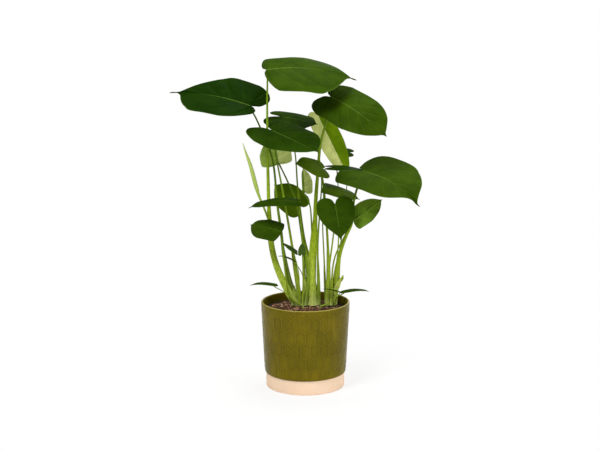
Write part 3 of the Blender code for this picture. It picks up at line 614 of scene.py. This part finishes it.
def floor_material():
    """A pale floor that the camera sees as bright as the backdrop a little way off from the object."""
    mix = Finish("pale_floor", Specular_IOR_Level=0.1)
    place = mix.here()
    cloud = mix.cloud(place, 2.0)
    seen = mix.add("LightPath")["Is Camera Ray"]
    away = mix.add("VectorMath", {0: place}, operation="LENGTH")["Value"]
    share = mix.calc("MULTIPLY", seen, mix.fade(away, 0.1, 0.45, 0.72, 1.0))
    white = mix.add("Emission", {"Color": WHITE, "Strength": 1.0})[0]
    mixed = mix.add("MixShader", {0: share, 1: mix.shader.outputs[0], 2: white})[0]
    mix.join(mix.tree.nodes["Material Output"], {"Surface": mixed})
    paint = mix.blend(cloud, (0.84, 0.84, 0.83), (0.88, 0.88, 0.87))
    return mix.done(paint, mix.fade(cloud, 0.3, 0.7, 0.8, 0.9))


def make_materials():
    for make_group in (vein_pattern, leaf_skin, long_streaks, specks):
        make_group()
    makers = (leaf_top_material, leaf_under_material, stalk_material, young_roll_material,
              papery_sheath_material, glaze_material, clay_material, black_plastic_material, soil_material,
              bark_chip_material, crown_material)
    return {made.name: made for made in (maker() for maker in makers)}


# Meshes


def placed(name, data):
    obj = bpy.data.objects.new(name, data)
    bpy.context.scene.collection.objects.link(obj)
    return obj


def circle(count):
    return np.linspace(0.0, 2 * math.pi, count, endpoint=False)


def together(*parts):
    """One array of vectors from an array or a number for each of their parts."""
    return np.stack(np.broadcast_arrays(*parts), -1)


class Heap:
    """Points in millimetres, with their faces and marks, gathered for one piece."""

    def __init__(self):
        self.points, self.faces, self.materials, self.marks = [], [], [], {}
        self.count = 0

    def add(self, points, **marks):
        """Adds points with a vector of each mark for every point, and returns the first one's number."""
        points = np.asarray(points, float).reshape(-1, 3)
        start = self.count
        self.points.append(points)
        for name, vectors in marks.items():
            vectors = np.broadcast_to(np.asarray(vectors, float).reshape(-1, 3), points.shape)
            self.marks.setdefault(name, []).append(vectors)
        self.count += len(points)
        return start

    def skin(self, faces, material):
        self.faces += faces
        self.materials += [material] * len(faces)


def new_piece(name, heap, node, sharp, weld=0.002):
    """A mesh that rides on the frame, takes the finish of a slot and may stand for a CAD node. Edges that
    turn by more than sharp degrees stay crisp, and points within weld of each other become one."""
    mesh = bpy.data.meshes.new(name)
    mesh.from_pydata((np.concatenate(heap.points) * MM).tolist(), [], heap.faces)
    materials = list(dict.fromkeys(heap.materials))
    for material in materials:
        mesh.materials.append(material)
    mesh.polygons.foreach_set("material_index", [materials.index(material) for material in heap.materials])
    for label, rows in heap.marks.items():
        vectors = np.concatenate(rows).astype(np.float32)
        mesh.attributes.new(label, "FLOAT_VECTOR", "POINT").data.foreach_set("vector", vectors.ravel())
    shape = bmesh.new()
    shape.from_mesh(mesh)
    bmesh.ops.remove_doubles(shape, verts=shape.verts, dist=weld * MM)
    bmesh.ops.dissolve_degenerate(shape, edges=shape.edges, dist=0.0001 * MM)
    bmesh.ops.recalc_face_normals(shape, faces=shape.faces)
    shape.to_mesh(mesh)
    shape.free()
    mesh.shade_smooth()
    mesh.set_sharp_from_angle(angle=math.radians(sharp))
    obj = placed(name, mesh)
    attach(obj, "root")
    if node:
        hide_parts(node)


def grid_faces(rows, columns, start=0, closed=False):
    """Quads between the points of a grid that is held row by row. closed joins each row's ends."""
    faces = []
    for row in range(rows - 1):
        for column in range(columns if closed else columns - 1):
            after = (column + 1) % columns
            low = start + row * columns
            faces.append((low + column, low + after, low + columns + after, low + columns + column))
    return faces


def ring_grid(heap, rings, material, **marks):
    """A closed skin over rings of points: rings is (count, around, 3). Each end is closed by a face."""
    rows, around = rings.shape[:2]
    start = heap.add(rings, **marks)
    heap.skin(grid_faces(rows, around, start, closed=True), material)
    last = start + (rows - 1) * around
    heap.skin([tuple(range(start, start + around)), tuple(range(last, last + around))], material)


def frames(line, towards):
    """Two directions square to the line at each point: the one nearest to towards, and the one beside it."""
    run = np.gradient(line, axis=0)
    run /= np.linalg.norm(run, axis=1)[:, None]
    inner = np.array(towards, float) - run * (run @ np.array(towards, float))[:, None]
    inner /= np.linalg.norm(inner, axis=1)[:, None]
    return inner, np.cross(run, inner)


def round_line(line, sides, angles, reach):
    """Rings of points round a line, reach away from it. sides are the directions of angles 0 and 90."""
    inner, beside = sides
    return (line[:, None] + inner[:, None] * (np.cos(angles) * reach)[..., None]
            + beside[:, None] * (np.sin(angles) * reach)[..., None])


def curve_point(before, start, end, after, t):
    """A point of the Catmull-Rom curve from start to end."""
    return 0.5 * (2 * start + (end - before) * t + (2 * before - 5 * start + 4 * end - after) * t**2
                  + (3 * start - before - 3 * end + after) * t**3)


# Blades


def midrib_line(leaf, length):
    """The bowed midrib seen from the side, from the stalk at 0 to the tip at (length, 0), and its slopes."""
    bend = math.radians(leaf.bend)
    angles = -bend * ((np.arange(MIDRIB_STEPS) + 0.5) / MIDRIB_STEPS) ** leaf.late
    line = np.cumsum(np.stack([np.cos(angles), np.sin(angles)], 1), 0) / MIDRIB_STEPS
    line = np.concatenate([[[0.0, 0.0]], line])
    level = math.atan2(line[-1][1], line[-1][0])
    turn = np.array([[math.cos(level), math.sin(level)], [-math.sin(level), math.cos(level)]])
    return line @ turn.T * (length / np.linalg.norm(line[-1])), angles - level


def along_midrib(line, slopes, share):
    """Where each share of the midrib's length lies, and its slope. Below 0 it runs straight on behind."""
    steps = len(slopes)
    knots = np.arange(steps + 1) / steps
    slope = np.interp(share, (np.arange(steps) + 0.5) / steps, slopes)
    reach = np.linalg.norm(line[1]) * steps * np.minimum(share, 0.0)
    ahead = np.interp(share, knots, line[:, 0]) + reach * math.cos(slopes[0])
    rise = np.interp(share, knots, line[:, 1]) + reach * math.sin(slopes[0])
    return ahead, rise, slope


def across_blade(leaf, distance):
    """Sideways and upward place, and the lean, of points by their distance from the midrib."""
    fold = math.radians(leaf.fold)
    rate = math.radians(leaf.curl if abs(leaf.curl) >= 1.0 else 0.01) / (leaf.width / 2)
    lean = fold - rate * abs(distance)
    sideways = np.copysign((math.sin(fold) - np.sin(lean)) / rate, distance)
    return sideways, (np.cos(lean) - math.cos(fold)) / rate, lean


def blade_axes(leaf):
    """The blade's own axes: towards the tip, to the left and up from its top side."""
    ahead = (Vector(leaf.tip) - Vector(leaf.base)).normalized()
    left = Vector((0.0, 0.0, 1.0)).cross(ahead).normalized()
    left = Matrix.Rotation(math.radians(leaf.roll), 3, ahead) @ left
    return ahead, left, ahead.cross(left)


def half_leaf_point(share):
    """A point of the leaf's outline, from its notch at 0 to its tip at 1."""
    steps = len(HALF_LEAF) - 1
    knots = [Vector(point) for point in HALF_LEAF]
    ends = [knots[0] * 2 - knots[1], *knots, knots[-1] * 2 - knots[-2]]
    piece = min(int(share * steps), steps - 1)
    return curve_point(*ends[piece : piece + 4], share * steps - piece)


def blade_edge(leaf, share):
    """How far along and across the leaf its edge lies, as shares of the blade's length and half width."""
    point = half_leaf_point(share)
    spread = max(point.y, 0.0)
    if point.x < 0.0:
        return point.x * leaf.lobe, spread
    if point.x > HALF_LEAF_BELLY:
        spread **= 1 + NARROWING * (1 - leaf.full)
    return point.x ** (math.log(leaf.belly) / math.log(HALF_LEAF_BELLY)), spread


def on_blade(leaf, along, across):
    """Places on the blade's middle surface, and the directions up from it."""
    base = np.array(leaf.base, float)
    line, slopes = midrib_line(leaf, (Vector(leaf.tip) - Vector(leaf.base)).length)
    ahead, left, up = (np.array(axis) for axis in blade_axes(leaf))
    sideways, rise, lean = across_blade(leaf, across * leaf.width / 2)
    x, z, slope = along_midrib(line, slopes, along)
    ribbed = np.cos(slope)[..., None] * up - np.sin(slope)[..., None] * ahead
    places = base + x[..., None] * ahead + z[..., None] * up
    places = places + sideways[..., None] * left + rise[..., None] * ribbed
    tilt = np.sign(across) * np.sin(lean)
    return places, np.cos(lean)[..., None] * ribbed - tilt[..., None] * left


def half_blade(leaf, side, chance):
    """One half of a blade: its top points, its underside points and their marks, row by row."""
    steps = VEIN_STEPS if leaf.width >= SMALL_BLADE else SMALL_VEIN_STEPS
    shares = np.array(ACROSS_STEPS if leaf.width >= SMALL_BLADE else ACROSS_STEPS[::2] + (1.0,))
    counts = np.array([vein + step for vein in range(leaf.veins) for step in steps] + [leaf.veins])
    along, across = [], []
    for count in counts:
        share = count / leaf.veins
        reach, spread = blade_edge(leaf, share)
        root = max(0.0, (share - FAN) / (1 - FAN))
        arc = 1 + (VEIN_ARC - 1) * min(1.0, share / FAN)
        edge = reach + max(0.0, side * leaf.skew) * spread
        along.append(root + (edge - root) * shares**arc)
        across.append(side * spread * shares)
    along, across = np.array(along), np.array(across)
    places, up = on_blade(leaf, along, across)
    count, share = np.meshgrid(counts, shares, indexing="ij")
    beside = abs((count + 0.5) % 1.0 - 0.5) * 2
    swell = (1 - (1 - beside) ** 2.2) * share**0.7 * (1 - share**5)
    phase, turns = chance.uniform(0, 2 * math.pi), chance.uniform(2.2, 3.6)
    wave = np.sin(turns * 2 * math.pi * count / leaf.veins + phase) * share**3
    ends = np.sin(math.pi * np.clip(count / leaf.veins, 0.0, 1.0)) ** 0.5
    distance = abs(across) * leaf.width / 2
    root = np.maximum(0.0, (count / leaf.veins - FAN) / (1 - FAN))
    groove = GROOVE_DEPTH * np.exp(-((distance / GROOVE_WIDTH) ** 2)) * (root > 0)
    height = leaf.quilt * swell + leaf.wave * wave * ends - groove
    girth = leaf.neck * (1 - 0.85 * root)
    length = (Vector(leaf.tip) - Vector(leaf.base)).length
    from_stalk = np.hypot(np.minimum(along, 0.0) * length, distance)
    rib = RIB_DEPTH * girth * np.sqrt(np.clip(1 - (from_stalk / girth) ** 2, 0.0, None))
    vein_rib = np.clip(1 - beside * (0.35 + share) * 9, 0.0, None) * (1 - share)
    vein_rib *= VEIN_DEPTH * leaf.neck
    thickness = EDGE_THICKNESS + (BLADE_THICKNESS - EDGE_THICKNESS) * np.clip((1 - share) * 12, 0.0, 1.0)
    half = thickness / 2
    top = places + up * (height + half)[..., None]
    under = places + up * (height - half - np.maximum(rib, vein_rib))[..., None]
    # split lifts one half's tone, a painted highlight on that half.
    return top, under, together(count, share, leaf.tone + side * leaf.split / 2)


def make_blade(leaf, looks):
    """One closed leaf: the top and underside of both halves, joined round the edge."""
    chance = random.Random("blade " + leaf.name)
    halves = [half_blade(leaf, side, chance) for side in (1.0, -1.0)]
    rows, columns = halves[0][0].shape[:2]
    edge = [*range(columns), *(row * columns - 1 for row in range(2, rows + 1))]
    heap = Heap()
    for top, under, marks in halves:
        above = heap.add(top, leaf_place=marks)
        below = heap.add(under, leaf_place=marks)
        heap.skin(grid_faces(rows, columns, above), looks["leaf_top"])
        heap.skin(grid_faces(rows, columns, below), looks["leaf_under"])
        rim = [(above + near, above + far, below + far, below + near) for near, far in zip(edge, edge[1:])]
        heap.skin(rim, looks["leaf_top"])
    new_piece("leaf_" + leaf.name, heap, "blade_" + leaf.name, sharp=70.0)


# Stalks


def spline_through(points, samples):
    """Catmull-Rom curve: samples points between each two neighbours, and the last point."""
    ends = [points[0] * 2 - points[1], *points, points[-1] * 2 - points[-2]]
    spans = zip(ends, ends[1:], ends[2:], ends[3:])
    curve = [curve_point(*span, step / samples) for span in spans for step in range(samples)]
    return [*curve, points[-1].copy()]


def evenly(points, spacing):
    """The same line with points about spacing apart, as an array."""
    points = np.array(points, float)
    lengths = np.concatenate([[0.0], np.cumsum(np.linalg.norm(np.diff(points, axis=0), axis=1))])
    wanted = np.linspace(0.0, lengths[-1], max(3, round(lengths[-1] / spacing)))
    return np.stack([np.interp(wanted, lengths, points[:, axis]) for axis in range(points.shape[1])], 1)


def stalk_line(leaf):
    """The stalk's own line from its foot on the crown to the blade, in millimetres."""
    base = Vector(leaf.base)
    _, slopes = midrib_line(leaf, (Vector(leaf.tip) - base).length)
    ahead, _, up = blade_axes(leaf)
    down = ahead * math.sin(slopes[0]) - up * math.cos(slopes[0])
    low, high = (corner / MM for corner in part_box("crown_" + leaf.crown))
    radius = (high.x - low.x) / 2
    foot = Vector(((low.x + high.x) / 2, (low.y + high.y) / 2, high.z)) + Vector((*leaf.foot, 0.0)) * radius
    bends = [foot + Vector((0.0, 0.0, BED)), *map(Vector, leaf.route), base + down * 2 * BED]
    return evenly([foot, *spline_through(bends, 8), base + down * 0.3], RING_SPACING)


def make_stalk(leaf, looks):
    """A tapering stalk, grooved between two thin wings where it sheathes the next one, with a knuckle
    under the blade."""
    turn = random.Random("stalk " + leaf.name).uniform(0.0, 50.0)
    line = stalk_line(leaf)
    count = len(line)
    share = np.linspace(0.0, 1.0, count)
    ahead = blade_axes(leaf)[0]
    sides = frames(line, (-ahead.x, -ahead.y, 0.4))
    angles = np.radians(SECTION_ANGLES)
    radius = leaf.neck + (leaf.girth - leaf.neck) * (1 - share) ** STALK_TAPER
    drift = np.array([noise.noise((place * 6.0, turn, 0.0)) for place in share])
    radius = radius * (1 + 0.05 * drift)
    height = line[:, 2] - line[0, 2]
    radius += FOOT_FLARE * leaf.girth * np.exp(-height / FLARE_HEIGHT)
    radius *= 1 + (SHEATH_BULK - 1) * np.clip((leaf.sheath - share) / 0.12, 0.0, 1.0)
    knuckle = np.exp(-(((share - 1) * count * RING_SPACING + KNUCKLE_DROP) / KNUCKLE_LENGTH) ** 2)
    radius += KNUCKLE_BULGE * leaf.neck * knuckle
    sheath = np.clip((leaf.sheath - share) / 0.05, 0.0, 1.0) * np.clip(height / 25.0, 0.25, 1.0)
    off = np.abs((angles + math.pi) % (2 * math.pi) - math.pi)
    groove = np.exp(-((off / 0.5) ** 2))
    wing = np.exp(-(((off - 0.8) / 0.17) ** 2))
    ridged = 0.03 * np.cos(angles * 7)
    section = 1 + ridged + sheath[:, None] * (0.34 * wing - 0.42 * groove)
    section += 0.10 * (1 - sheath[:, None]) * (-groove + 0.4 * wing)
    reach = radius[:, None] * section
    along = np.linalg.norm(np.diff(line, axis=0), axis=1).sum() * share
    look = together(share[:, None], sheath[:, None] * wing, leaf.green)
    heap = Heap()
    ring_grid(heap, round_line(line, sides, angles, reach), looks["stalk_skin"],
              stalk_place=together(np.cos(angles), np.sin(angles), along[:, None]), stalk_look=look)
    new_piece("petiole_" + leaf.name, heap, "stalk_" + leaf.name, sharp=60.0)


def make_flap(leaf, start, height, width, heading, leaning, looks):
    """A torn, drying end of a sheath that stands off its stalk. start is its place along the stalk."""
    line = stalk_line(leaf)
    foot = line[int(start * (len(line) - 1))]
    out = np.array((math.cos(math.radians(heading)), math.sin(math.radians(heading)), 0.0))
    wide = np.array((-out[1], out[0], 0.0))
    rows = []
    for share in np.linspace(0.0, 1.0, 12):
        spread = width * (0.35 + 0.65 * math.sin(math.pi * min(1.0, share * 0.9 + 0.1)))
        spread *= 1 - 0.75 * share**4
        row = []
        for across in np.linspace(-1.0, 1.0, 9):
            cup = FLAP_CUP * (across**2 - 0.4) * width
            lean = leaning * share**1.6 * height + 0.6 * math.sin(9 * share + 3 * across)
            torn = noise.noise((across * 2.5, share * 3.0, heading)) - 0.3
            place = foot + out * (lean - cup + leaf.girth * 0.6) + wide * (across * spread)
            row.append(place + (0.0, 0.0, height * share + FLAP_TEAR * share * torn))
        rows.append(row)
    rows = np.array(rows)
    skin = np.concatenate([rows, rows[:, ::-1] + out * FLAP_THICKNESS], axis=1)
    heap = Heap()
    ring_grid(heap, skin, looks["papery_sheath"])
    new_piece("torn_sheath_" + leaf.name, heap, None, sharp=60.0)


def make_new_leaf(looks):
    """A young leaf still rolled into a spear, on its short stalk."""
    knots = [Vector((*lifted(place), radius)) for place, radius in NEW_LEAF]
    whole = spline_through(knots, 8)
    opening = NEW_LEAF_ROLL * 8
    heap = Heap()

    def skin(rings, around, share):
        place = together(np.cos(around), np.sin(around), share[:, None] * ROLL_STREAKS)
        look = together(share[:, None], 0.0 * around, 0.0)
        ring_grid(heap, rings, looks["young_roll"], stalk_place=place, stalk_look=look)

    stalk = evenly(whole[: opening + 3], 4.0)
    angles = circle(14)
    sides = frames(stalk[:, :3], ROLL_FACES)
    rings = round_line(stalk[:, :3], sides, angles, stalk[:, 3:])
    skin(rings, angles, np.linspace(0.0, ROLL_START, len(stalk)))

    roll = evenly(whole[opening:], 3.0)
    sides = frames(roll[:, :3], ROLL_FACES)
    turns = np.radians(np.linspace(-40.0, 470.0, 40))
    wound = np.linspace(0.80, 1.0, len(turns)) - 0.10 * np.exp(-((turns - turns[-1]) / 0.4) ** 2)
    sheets = []
    for inset in (0.0, ROLL_THICKNESS):
        reach = np.maximum(roll[:, 3:] * wound - inset * np.minimum(1.0, roll[:, 3:] / 3.0), 0.05)
        sheets.append(round_line(roll[:, :3], sides, turns, reach))
    rings = np.concatenate([sheets[0], sheets[1][:, ::-1]], axis=1)
    skin(rings, np.concatenate([turns, turns[::-1]]), np.linspace(ROLL_START, 1.0, len(roll)))
    new_piece("rolled_leaf", heap, "new_leaf", sharp=70.0)


# Pot and potting mix


def zigzag(row, column_place):
    """Height of the line between rows of cells, above its middle, at a place counted in cells."""
    beside = abs((column_place + row / 2) % 1.0 - 0.5) * 2
    return (0.5 - beside) * CELL_CAP


def ridge(distance):
    """The cross-section of a raised line: 1 on it and 0 beside it."""
    return np.clip(1.25 * (1 - (distance / RIDGE_WIDTH) ** 2), 0.0, 1.0)


def pool(distance):
    """How deep the glaze pools beside a raised line."""
    return np.exp(-(((distance - POOL_PLACE) / POOL_WIDTH) ** 2))


def honeycomb_rows():
    """The pot's relief, row by row: heights, how far each point stands proud and how deep glaze pools."""
    steps = np.array((0.0, 0.05, 0.1, 0.16, 0.4, 0.65, 0.85, 0.93))
    places = np.concatenate([(half + steps) / 2 for half in range(2 * HONEYCOMB_COLUMNS)])
    pitch = 2 * math.pi * (POT_WAIST_RADIUS + 4) / HONEYCOMB_COLUMNS
    rows = []
    chance = random.Random("glaze")
    cells = math.ceil((RELIEF_HIGH - RELIEF_LOW) / CELL_RISE)
    shares = np.array((0.0, 0.025, 0.05, 0.12, 0.3, 0.5, 0.7, 0.88, 0.95, 0.975))
    for row in range(cells + 1):
        low = RELIEF_LOW + (row - 0.35) * CELL_RISE + zigzag(row, places)
        high = RELIEF_LOW + (row + 0.65) * CELL_RISE + zigzag(row + 1, places)
        beside = np.minimum((places + row / 2 + 0.5) % 1.0, 1 - (places + row / 2 + 0.5) % 1.0) * pitch
        column = np.floor(places + row / 2 + 0.5).astype(int) % HONEYCOMB_COLUMNS
        tones = np.array([chance.random() for _ in range(HONEYCOMB_COLUMNS)])[column]
        for share in shares:
            height = low + (high - low) * share
            slant = math.hypot(pitch / 2, CELL_CAP) / (pitch / 2)
            to_line = np.minimum(height - low, high - height) / slant
            proud = np.maximum(ridge(to_line), ridge(beside))
            near = np.maximum(pool(to_line), pool(beside))
            inside = (height > RELIEF_LOW) & (height < RELIEF_HIGH)
            fade_out = np.clip(np.minimum(height - RELIEF_LOW, RELIEF_HIGH - height) / 1.0, 0.0, 1.0)
            height = np.clip(height, RELIEF_LOW, RELIEF_HIGH)
            rows.append((height, proud * fade_out * inside, near * inside, tones))
    return places, rows


def make_cachepot(looks):
    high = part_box("cachepot")[1]
    top, rim_radius = high.z / MM, high.x / MM
    waist_height = FOOT_HEIGHT + 3.0
    lip = POT_WALL / 2

    def wall(height):
        share = (height - waist_height) / (top - lip - waist_height)
        return POT_WAIST_RADIUS + share * (rim_radius - POT_WAIST_RADIUS)

    places, relief = honeycomb_rows()
    around = len(places)
    angles = places / HONEYCOMB_COLUMNS * 2 * math.pi
    foot_radius = POT_WAIST_RADIUS - FOOT_SETBACK
    clay = [(0.5, 0.0), (foot_radius * 0.5, 0.0), (foot_radius - 1.5, 0.0), (foot_radius - 0.5, 0.4),
            (foot_radius, 1.5)]
    clay += [(foot_radius, height) for height in np.linspace(6.0, FOOT_HEIGHT, 6)]
    glaze_low = [(foot_radius + 0.2, FOOT_HEIGHT), (foot_radius + 1.2, FOOT_HEIGHT + 0.2),
                 (foot_radius + 2.2, FOOT_HEIGHT + 1.0), (foot_radius + 2.8, FOOT_HEIGHT + 2.2),
                 (POT_WAIST_RADIUS, waist_height)]
    glaze_high = [(wall(height), height) for height in np.linspace(RELIEF_HIGH + 0.8, top - lip, 4)]
    for angle in np.radians((20, 40, 60, 75, 90, 105, 120, 140, 160, 180)):
        glaze_high.append((rim_radius - lip + lip * math.cos(angle), top - lip + lip * math.sin(angle)))
    inside = [(wall(height) - POT_WALL, height) for height in np.linspace(top - 8.0, waist_height, 14)]
    inside += [(foot_radius - POT_WALL, POT_FLOOR + 6.0), (foot_radius - POT_WALL - 4.0, POT_FLOOR),
               (foot_radius * 0.5, POT_FLOOR), (0.5, POT_FLOOR)]
    rows = []
    for radius, height in clay + glaze_low:
        rows.append((radius, height, 0.0, 0.0, PLAIN_TONE))
    for heights, proud, pooled, tones in relief:
        rows.append((wall(heights) + RIDGE * proud - POOL_DEPTH * pooled, heights, proud, pooled, tones))
    for radius, height in glaze_high + inside:
        # Painted highlight: the rim's top edge gets a mark of 2 so that the glaze paints it pale.
        thin_glaze_and_rim_highlight = 2.0 if height > top - 1.6 and radius > rim_radius - 3.5 else 0.0
        rows.append((radius, height, thin_glaze_and_rim_highlight, 0.0, PLAIN_TONE))
    rows = [np.broadcast_arrays(angles, *row)[1:] for row in rows]
    grid = np.stack([together(r * np.cos(angles), r * np.sin(angles), z) for r, z, *_ in rows])
    marks = np.stack([together(*row[2:]) for row in rows])
    heap = Heap()
    start = heap.add(grid, relief=marks)
    faces = grid_faces(len(rows), around, start, closed=True)
    bare = (len(clay) - 1) * around
    heap.skin(faces[:bare], looks["bare_clay"])
    heap.skin(faces[bare:], looks["olive_glaze"])
    heap.skin([tuple(range(start, start + around))], looks["bare_clay"])
    last = start + (len(rows) - 1) * around
    heap.skin([tuple(range(last, last + around))], looks["olive_glaze"])
    new_piece("glazed_cachepot", heap, "cachepot", sharp=40.0)


def soil_place(turn, reach, edge, radius):
    """A place on the lumpy potting mix, by its direction and distance from the middle."""
    x, y = reach * math.cos(turn), reach * math.sin(turn)
    return x, y, soil_height(x, y, edge, radius)


def soil_height(x, y, edge, radius):
    mound = edge + SOIL_MOUND * max(0.0, 1 - (math.hypot(x, y) / radius) ** 2)
    lumps = noise.fractal(Vector((x, y, 3.0)) * 0.045, 1.0, 2.0, 3) * 2.2
    crumbs = noise.fractal(Vector((x, y, 9.0)) * 0.22, 1.0, 2.0, 2) * 0.9
    return mound + lumps + crumbs


def make_potting_mix(looks, edge, radius):
    angles = circle(120)
    reaches = np.linspace(0.5, radius, 44)
    rows = [[soil_place(angle, reach, edge, radius) for angle in angles] for reach in reaches]
    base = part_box("soil")[0].z / MM
    below = ((edge - 8, 1.0), (edge - 40, 0.97), (base + 30, 0.86), (base, 0.81), (base, 0.4), (base, 0.01))
    for height, share in below:
        rows.append([(radius * share * math.cos(a), radius * share * math.sin(a), height) for a in angles])
    heap = Heap()
    ring_grid(heap, np.array(rows), looks["damp_mix"])
    new_piece("potting_mix", heap, "soil", sharp=80.0)


CHIP_CORNERS = np.array([(x, y, z) for x in (-1, 1) for y in (-1, 1) for z in (-1, 1)], float)
CHIP_SIDES = ((0, 1, 3, 2), (4, 6, 7, 5), (0, 4, 5, 1), (2, 3, 7, 6), (0, 2, 6, 4), (1, 5, 7, 3))


def make_chips(looks, edge, radius):
    """Bark chips and coir fibres lying on the potting mix."""
    chance = random.Random("chips")
    heap = Heap()
    for _ in range(CHIPS):
        reach = (radius - 3.0) * math.sqrt(chance.random())
        x, y, z = soil_place(chance.uniform(0, 2 * math.pi), reach, edge, radius)
        size = chance.uniform(*CHIP_SIZES)
        corners = CHIP_CORNERS * (size, size * chance.uniform(0.35, 0.8), size * chance.uniform(0.12, 0.35))
        corners = corners * [[chance.uniform(0.55, 1.0) for _ in range(3)] for _ in range(8)]
        tilt = Matrix.Rotation(chance.uniform(-0.7, 0.7), 3, "X")
        tilt = tilt @ Matrix.Rotation(chance.uniform(-0.7, 0.7), 3, "Y")
        spin = np.array(Matrix.Rotation(chance.uniform(0, 2 * math.pi), 3, "Z") @ tilt)
        start = heap.add(corners @ spin.T + (x, y, z + size * 0.12), chip_tone=(chance.random(), 0.0, 0.0))
        heap.skin([tuple(start + corner for corner in side) for side in CHIP_SIDES], looks["bark_chip"])
    for _ in range(FIBRES):
        reach = (radius - 4.0) * math.sqrt(chance.random())
        x, y, z = soil_place(chance.uniform(0, 2 * math.pi), reach, edge, radius)
        heading = chance.uniform(0, 2 * math.pi)
        length, curve = chance.uniform(*FIBRE_LENGTHS), chance.uniform(-1.6, 1.6)
        line = []
        for step in range(FIBRE_STEPS + 1):
            hump = 0.5 + 1.4 * math.sin(math.pi * step / FIBRE_STEPS)
            line.append((x, y, soil_height(x, y, edge, radius) + hump))
            heading += curve / FIBRE_STEPS
            x += math.cos(heading) * length / FIBRE_STEPS
            y += math.sin(heading) * length / FIBRE_STEPS
        line = np.array(line)
        if np.hypot(line[:, 0], line[:, 1]).max() > radius - 1.0:
            continue
        thick = FIBRE_RADIUS * np.array((0.4, 1, 1, 1, 1, 0.8, 0.3))[:, None]
        rings = round_line(line, frames(line, (0.0, 0.0, 1.0))[::-1], np.radians((90.0, 210.0, 330.0)), thick)
        ring_grid(heap, rings, looks["bark_chip"], chip_tone=(chance.uniform(0.4, 1.0), 0.0, 0.0))
    new_piece("bark_chips_and_fibres", heap, None, sharp=30.0, weld=0.0001)


def make_crown(name, looks):
    """A knobbly crown where the stalks leave the potting mix."""
    low, high = (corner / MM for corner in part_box(name))
    middle = (low + high) / 2
    radius = (high.x - low.x) / 2
    heights = np.concatenate([np.linspace(0.0, 0.55, 12), (0.75, 1.0)])
    angles = circle(48)
    rows = []
    for share in heights:
        z = high.z - share * (high.z - low.z)
        shoulder = min(1.0, 0.35 + 0.65 * math.sqrt(min(1.0, share / 0.22)))
        side = radius * shoulder * (1 - 0.5 * max(0.0, share - 0.6) / 0.4)
        row = []
        for angle in angles:
            x, y = math.cos(angle), math.sin(angle)
            lump = noise.fractal(Vector((x * 2, y * 2, z * 0.12 + middle.x)), 1.0, 2.0, 3)
            scar = 0.04 * math.sin(z * 1.7)
            reach = side * (0.92 + 0.10 * lump + scar)
            row.append((middle.x + x * reach, middle.y + y * reach, z - 0.4 * (1 + lump)))
        rows.append(row)
    heap = Heap()
    ring_grid(heap, np.array(rows), looks["knobbly_bark"])
    new_piece("rootstock_" + name.removeprefix("crown_"), heap, name, sharp=60.0)


# Stage


def make_stage():
    mesh = bpy.data.meshes.new("pale_floor")
    corners = [(x * FLOOR_REACH, y * FLOOR_REACH, 0.0) for x, y in ((-1, -1), (1, -1), (1, 1), (-1, 1))]
    mesh.from_pydata(corners, [], [(0, 1, 2, 3)])
    mesh.materials.append(floor_material())
    placed("pale_floor", mesh)


def make_lights():
    world = bpy.data.worlds.new("studio")
    bpy.context.scene.world = world
    world.use_nodes = True
    sky = Nodes(world.node_tree)
    seen = sky.add("LightPath")["Is Camera Ray"]
    sky.join(sky.tree.nodes["Background"], {"Color": WHITE, "Strength": sky.fade(seen, 0.0, 1.0, SKY, 1.0)})
    for name, (place, width, height, power) in SOFTBOXES.items():
        light = bpy.data.lights.new(name, "AREA")
        light.shape = "RECTANGLE"
        light.size, light.size_y, light.energy = width, height, power
        box = placed(name, light)
        box.location = place
        box.rotation_euler = (Vector(LIT_POINT) - Vector(place)).to_track_quat("-Z", "Y").to_euler()


def make_camera():
    lens = bpy.data.cameras.new("camera")
    lens.sensor_width = SENSOR_WIDTH
    lens.lens = FOCAL_LENGTH
    camera = placed("camera", lens)
    camera.location = CAMERA_PLACE
    camera.rotation_euler = (math.radians(90.0 - CAMERA_DOWN), 0.0, 0.0)
    bpy.context.scene.camera = camera


def main():
    looks = make_materials()
    make_cachepot(looks)
    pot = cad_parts["grow_pot"]
    pot.data.materials.clear()
    pot.data.materials.append(looks["black_plastic"])
    soil_edge = crown_top() - CROWN_STAND - SOIL_MOUND
    soil_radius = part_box("soil")[1].x / MM
    make_potting_mix(looks, soil_edge, soil_radius)
    make_chips(looks, soil_edge, soil_radius)
    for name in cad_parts:
        if name.startswith("crown_"):
            make_crown(name, looks)
    for leaf in map(above_ground, LEAVES):
        make_blade(leaf, looks)
        make_stalk(leaf, looks)
        for name, *shape in FLAPS:
            if name == leaf.name:
                make_flap(leaf, *shape, looks)
    make_new_leaf(looks)
    make_stage()
    make_lights()
    make_camera()
    bpy.context.scene.view_settings.view_transform = "Standard"
    bpy.context.view_layer.update()


main()
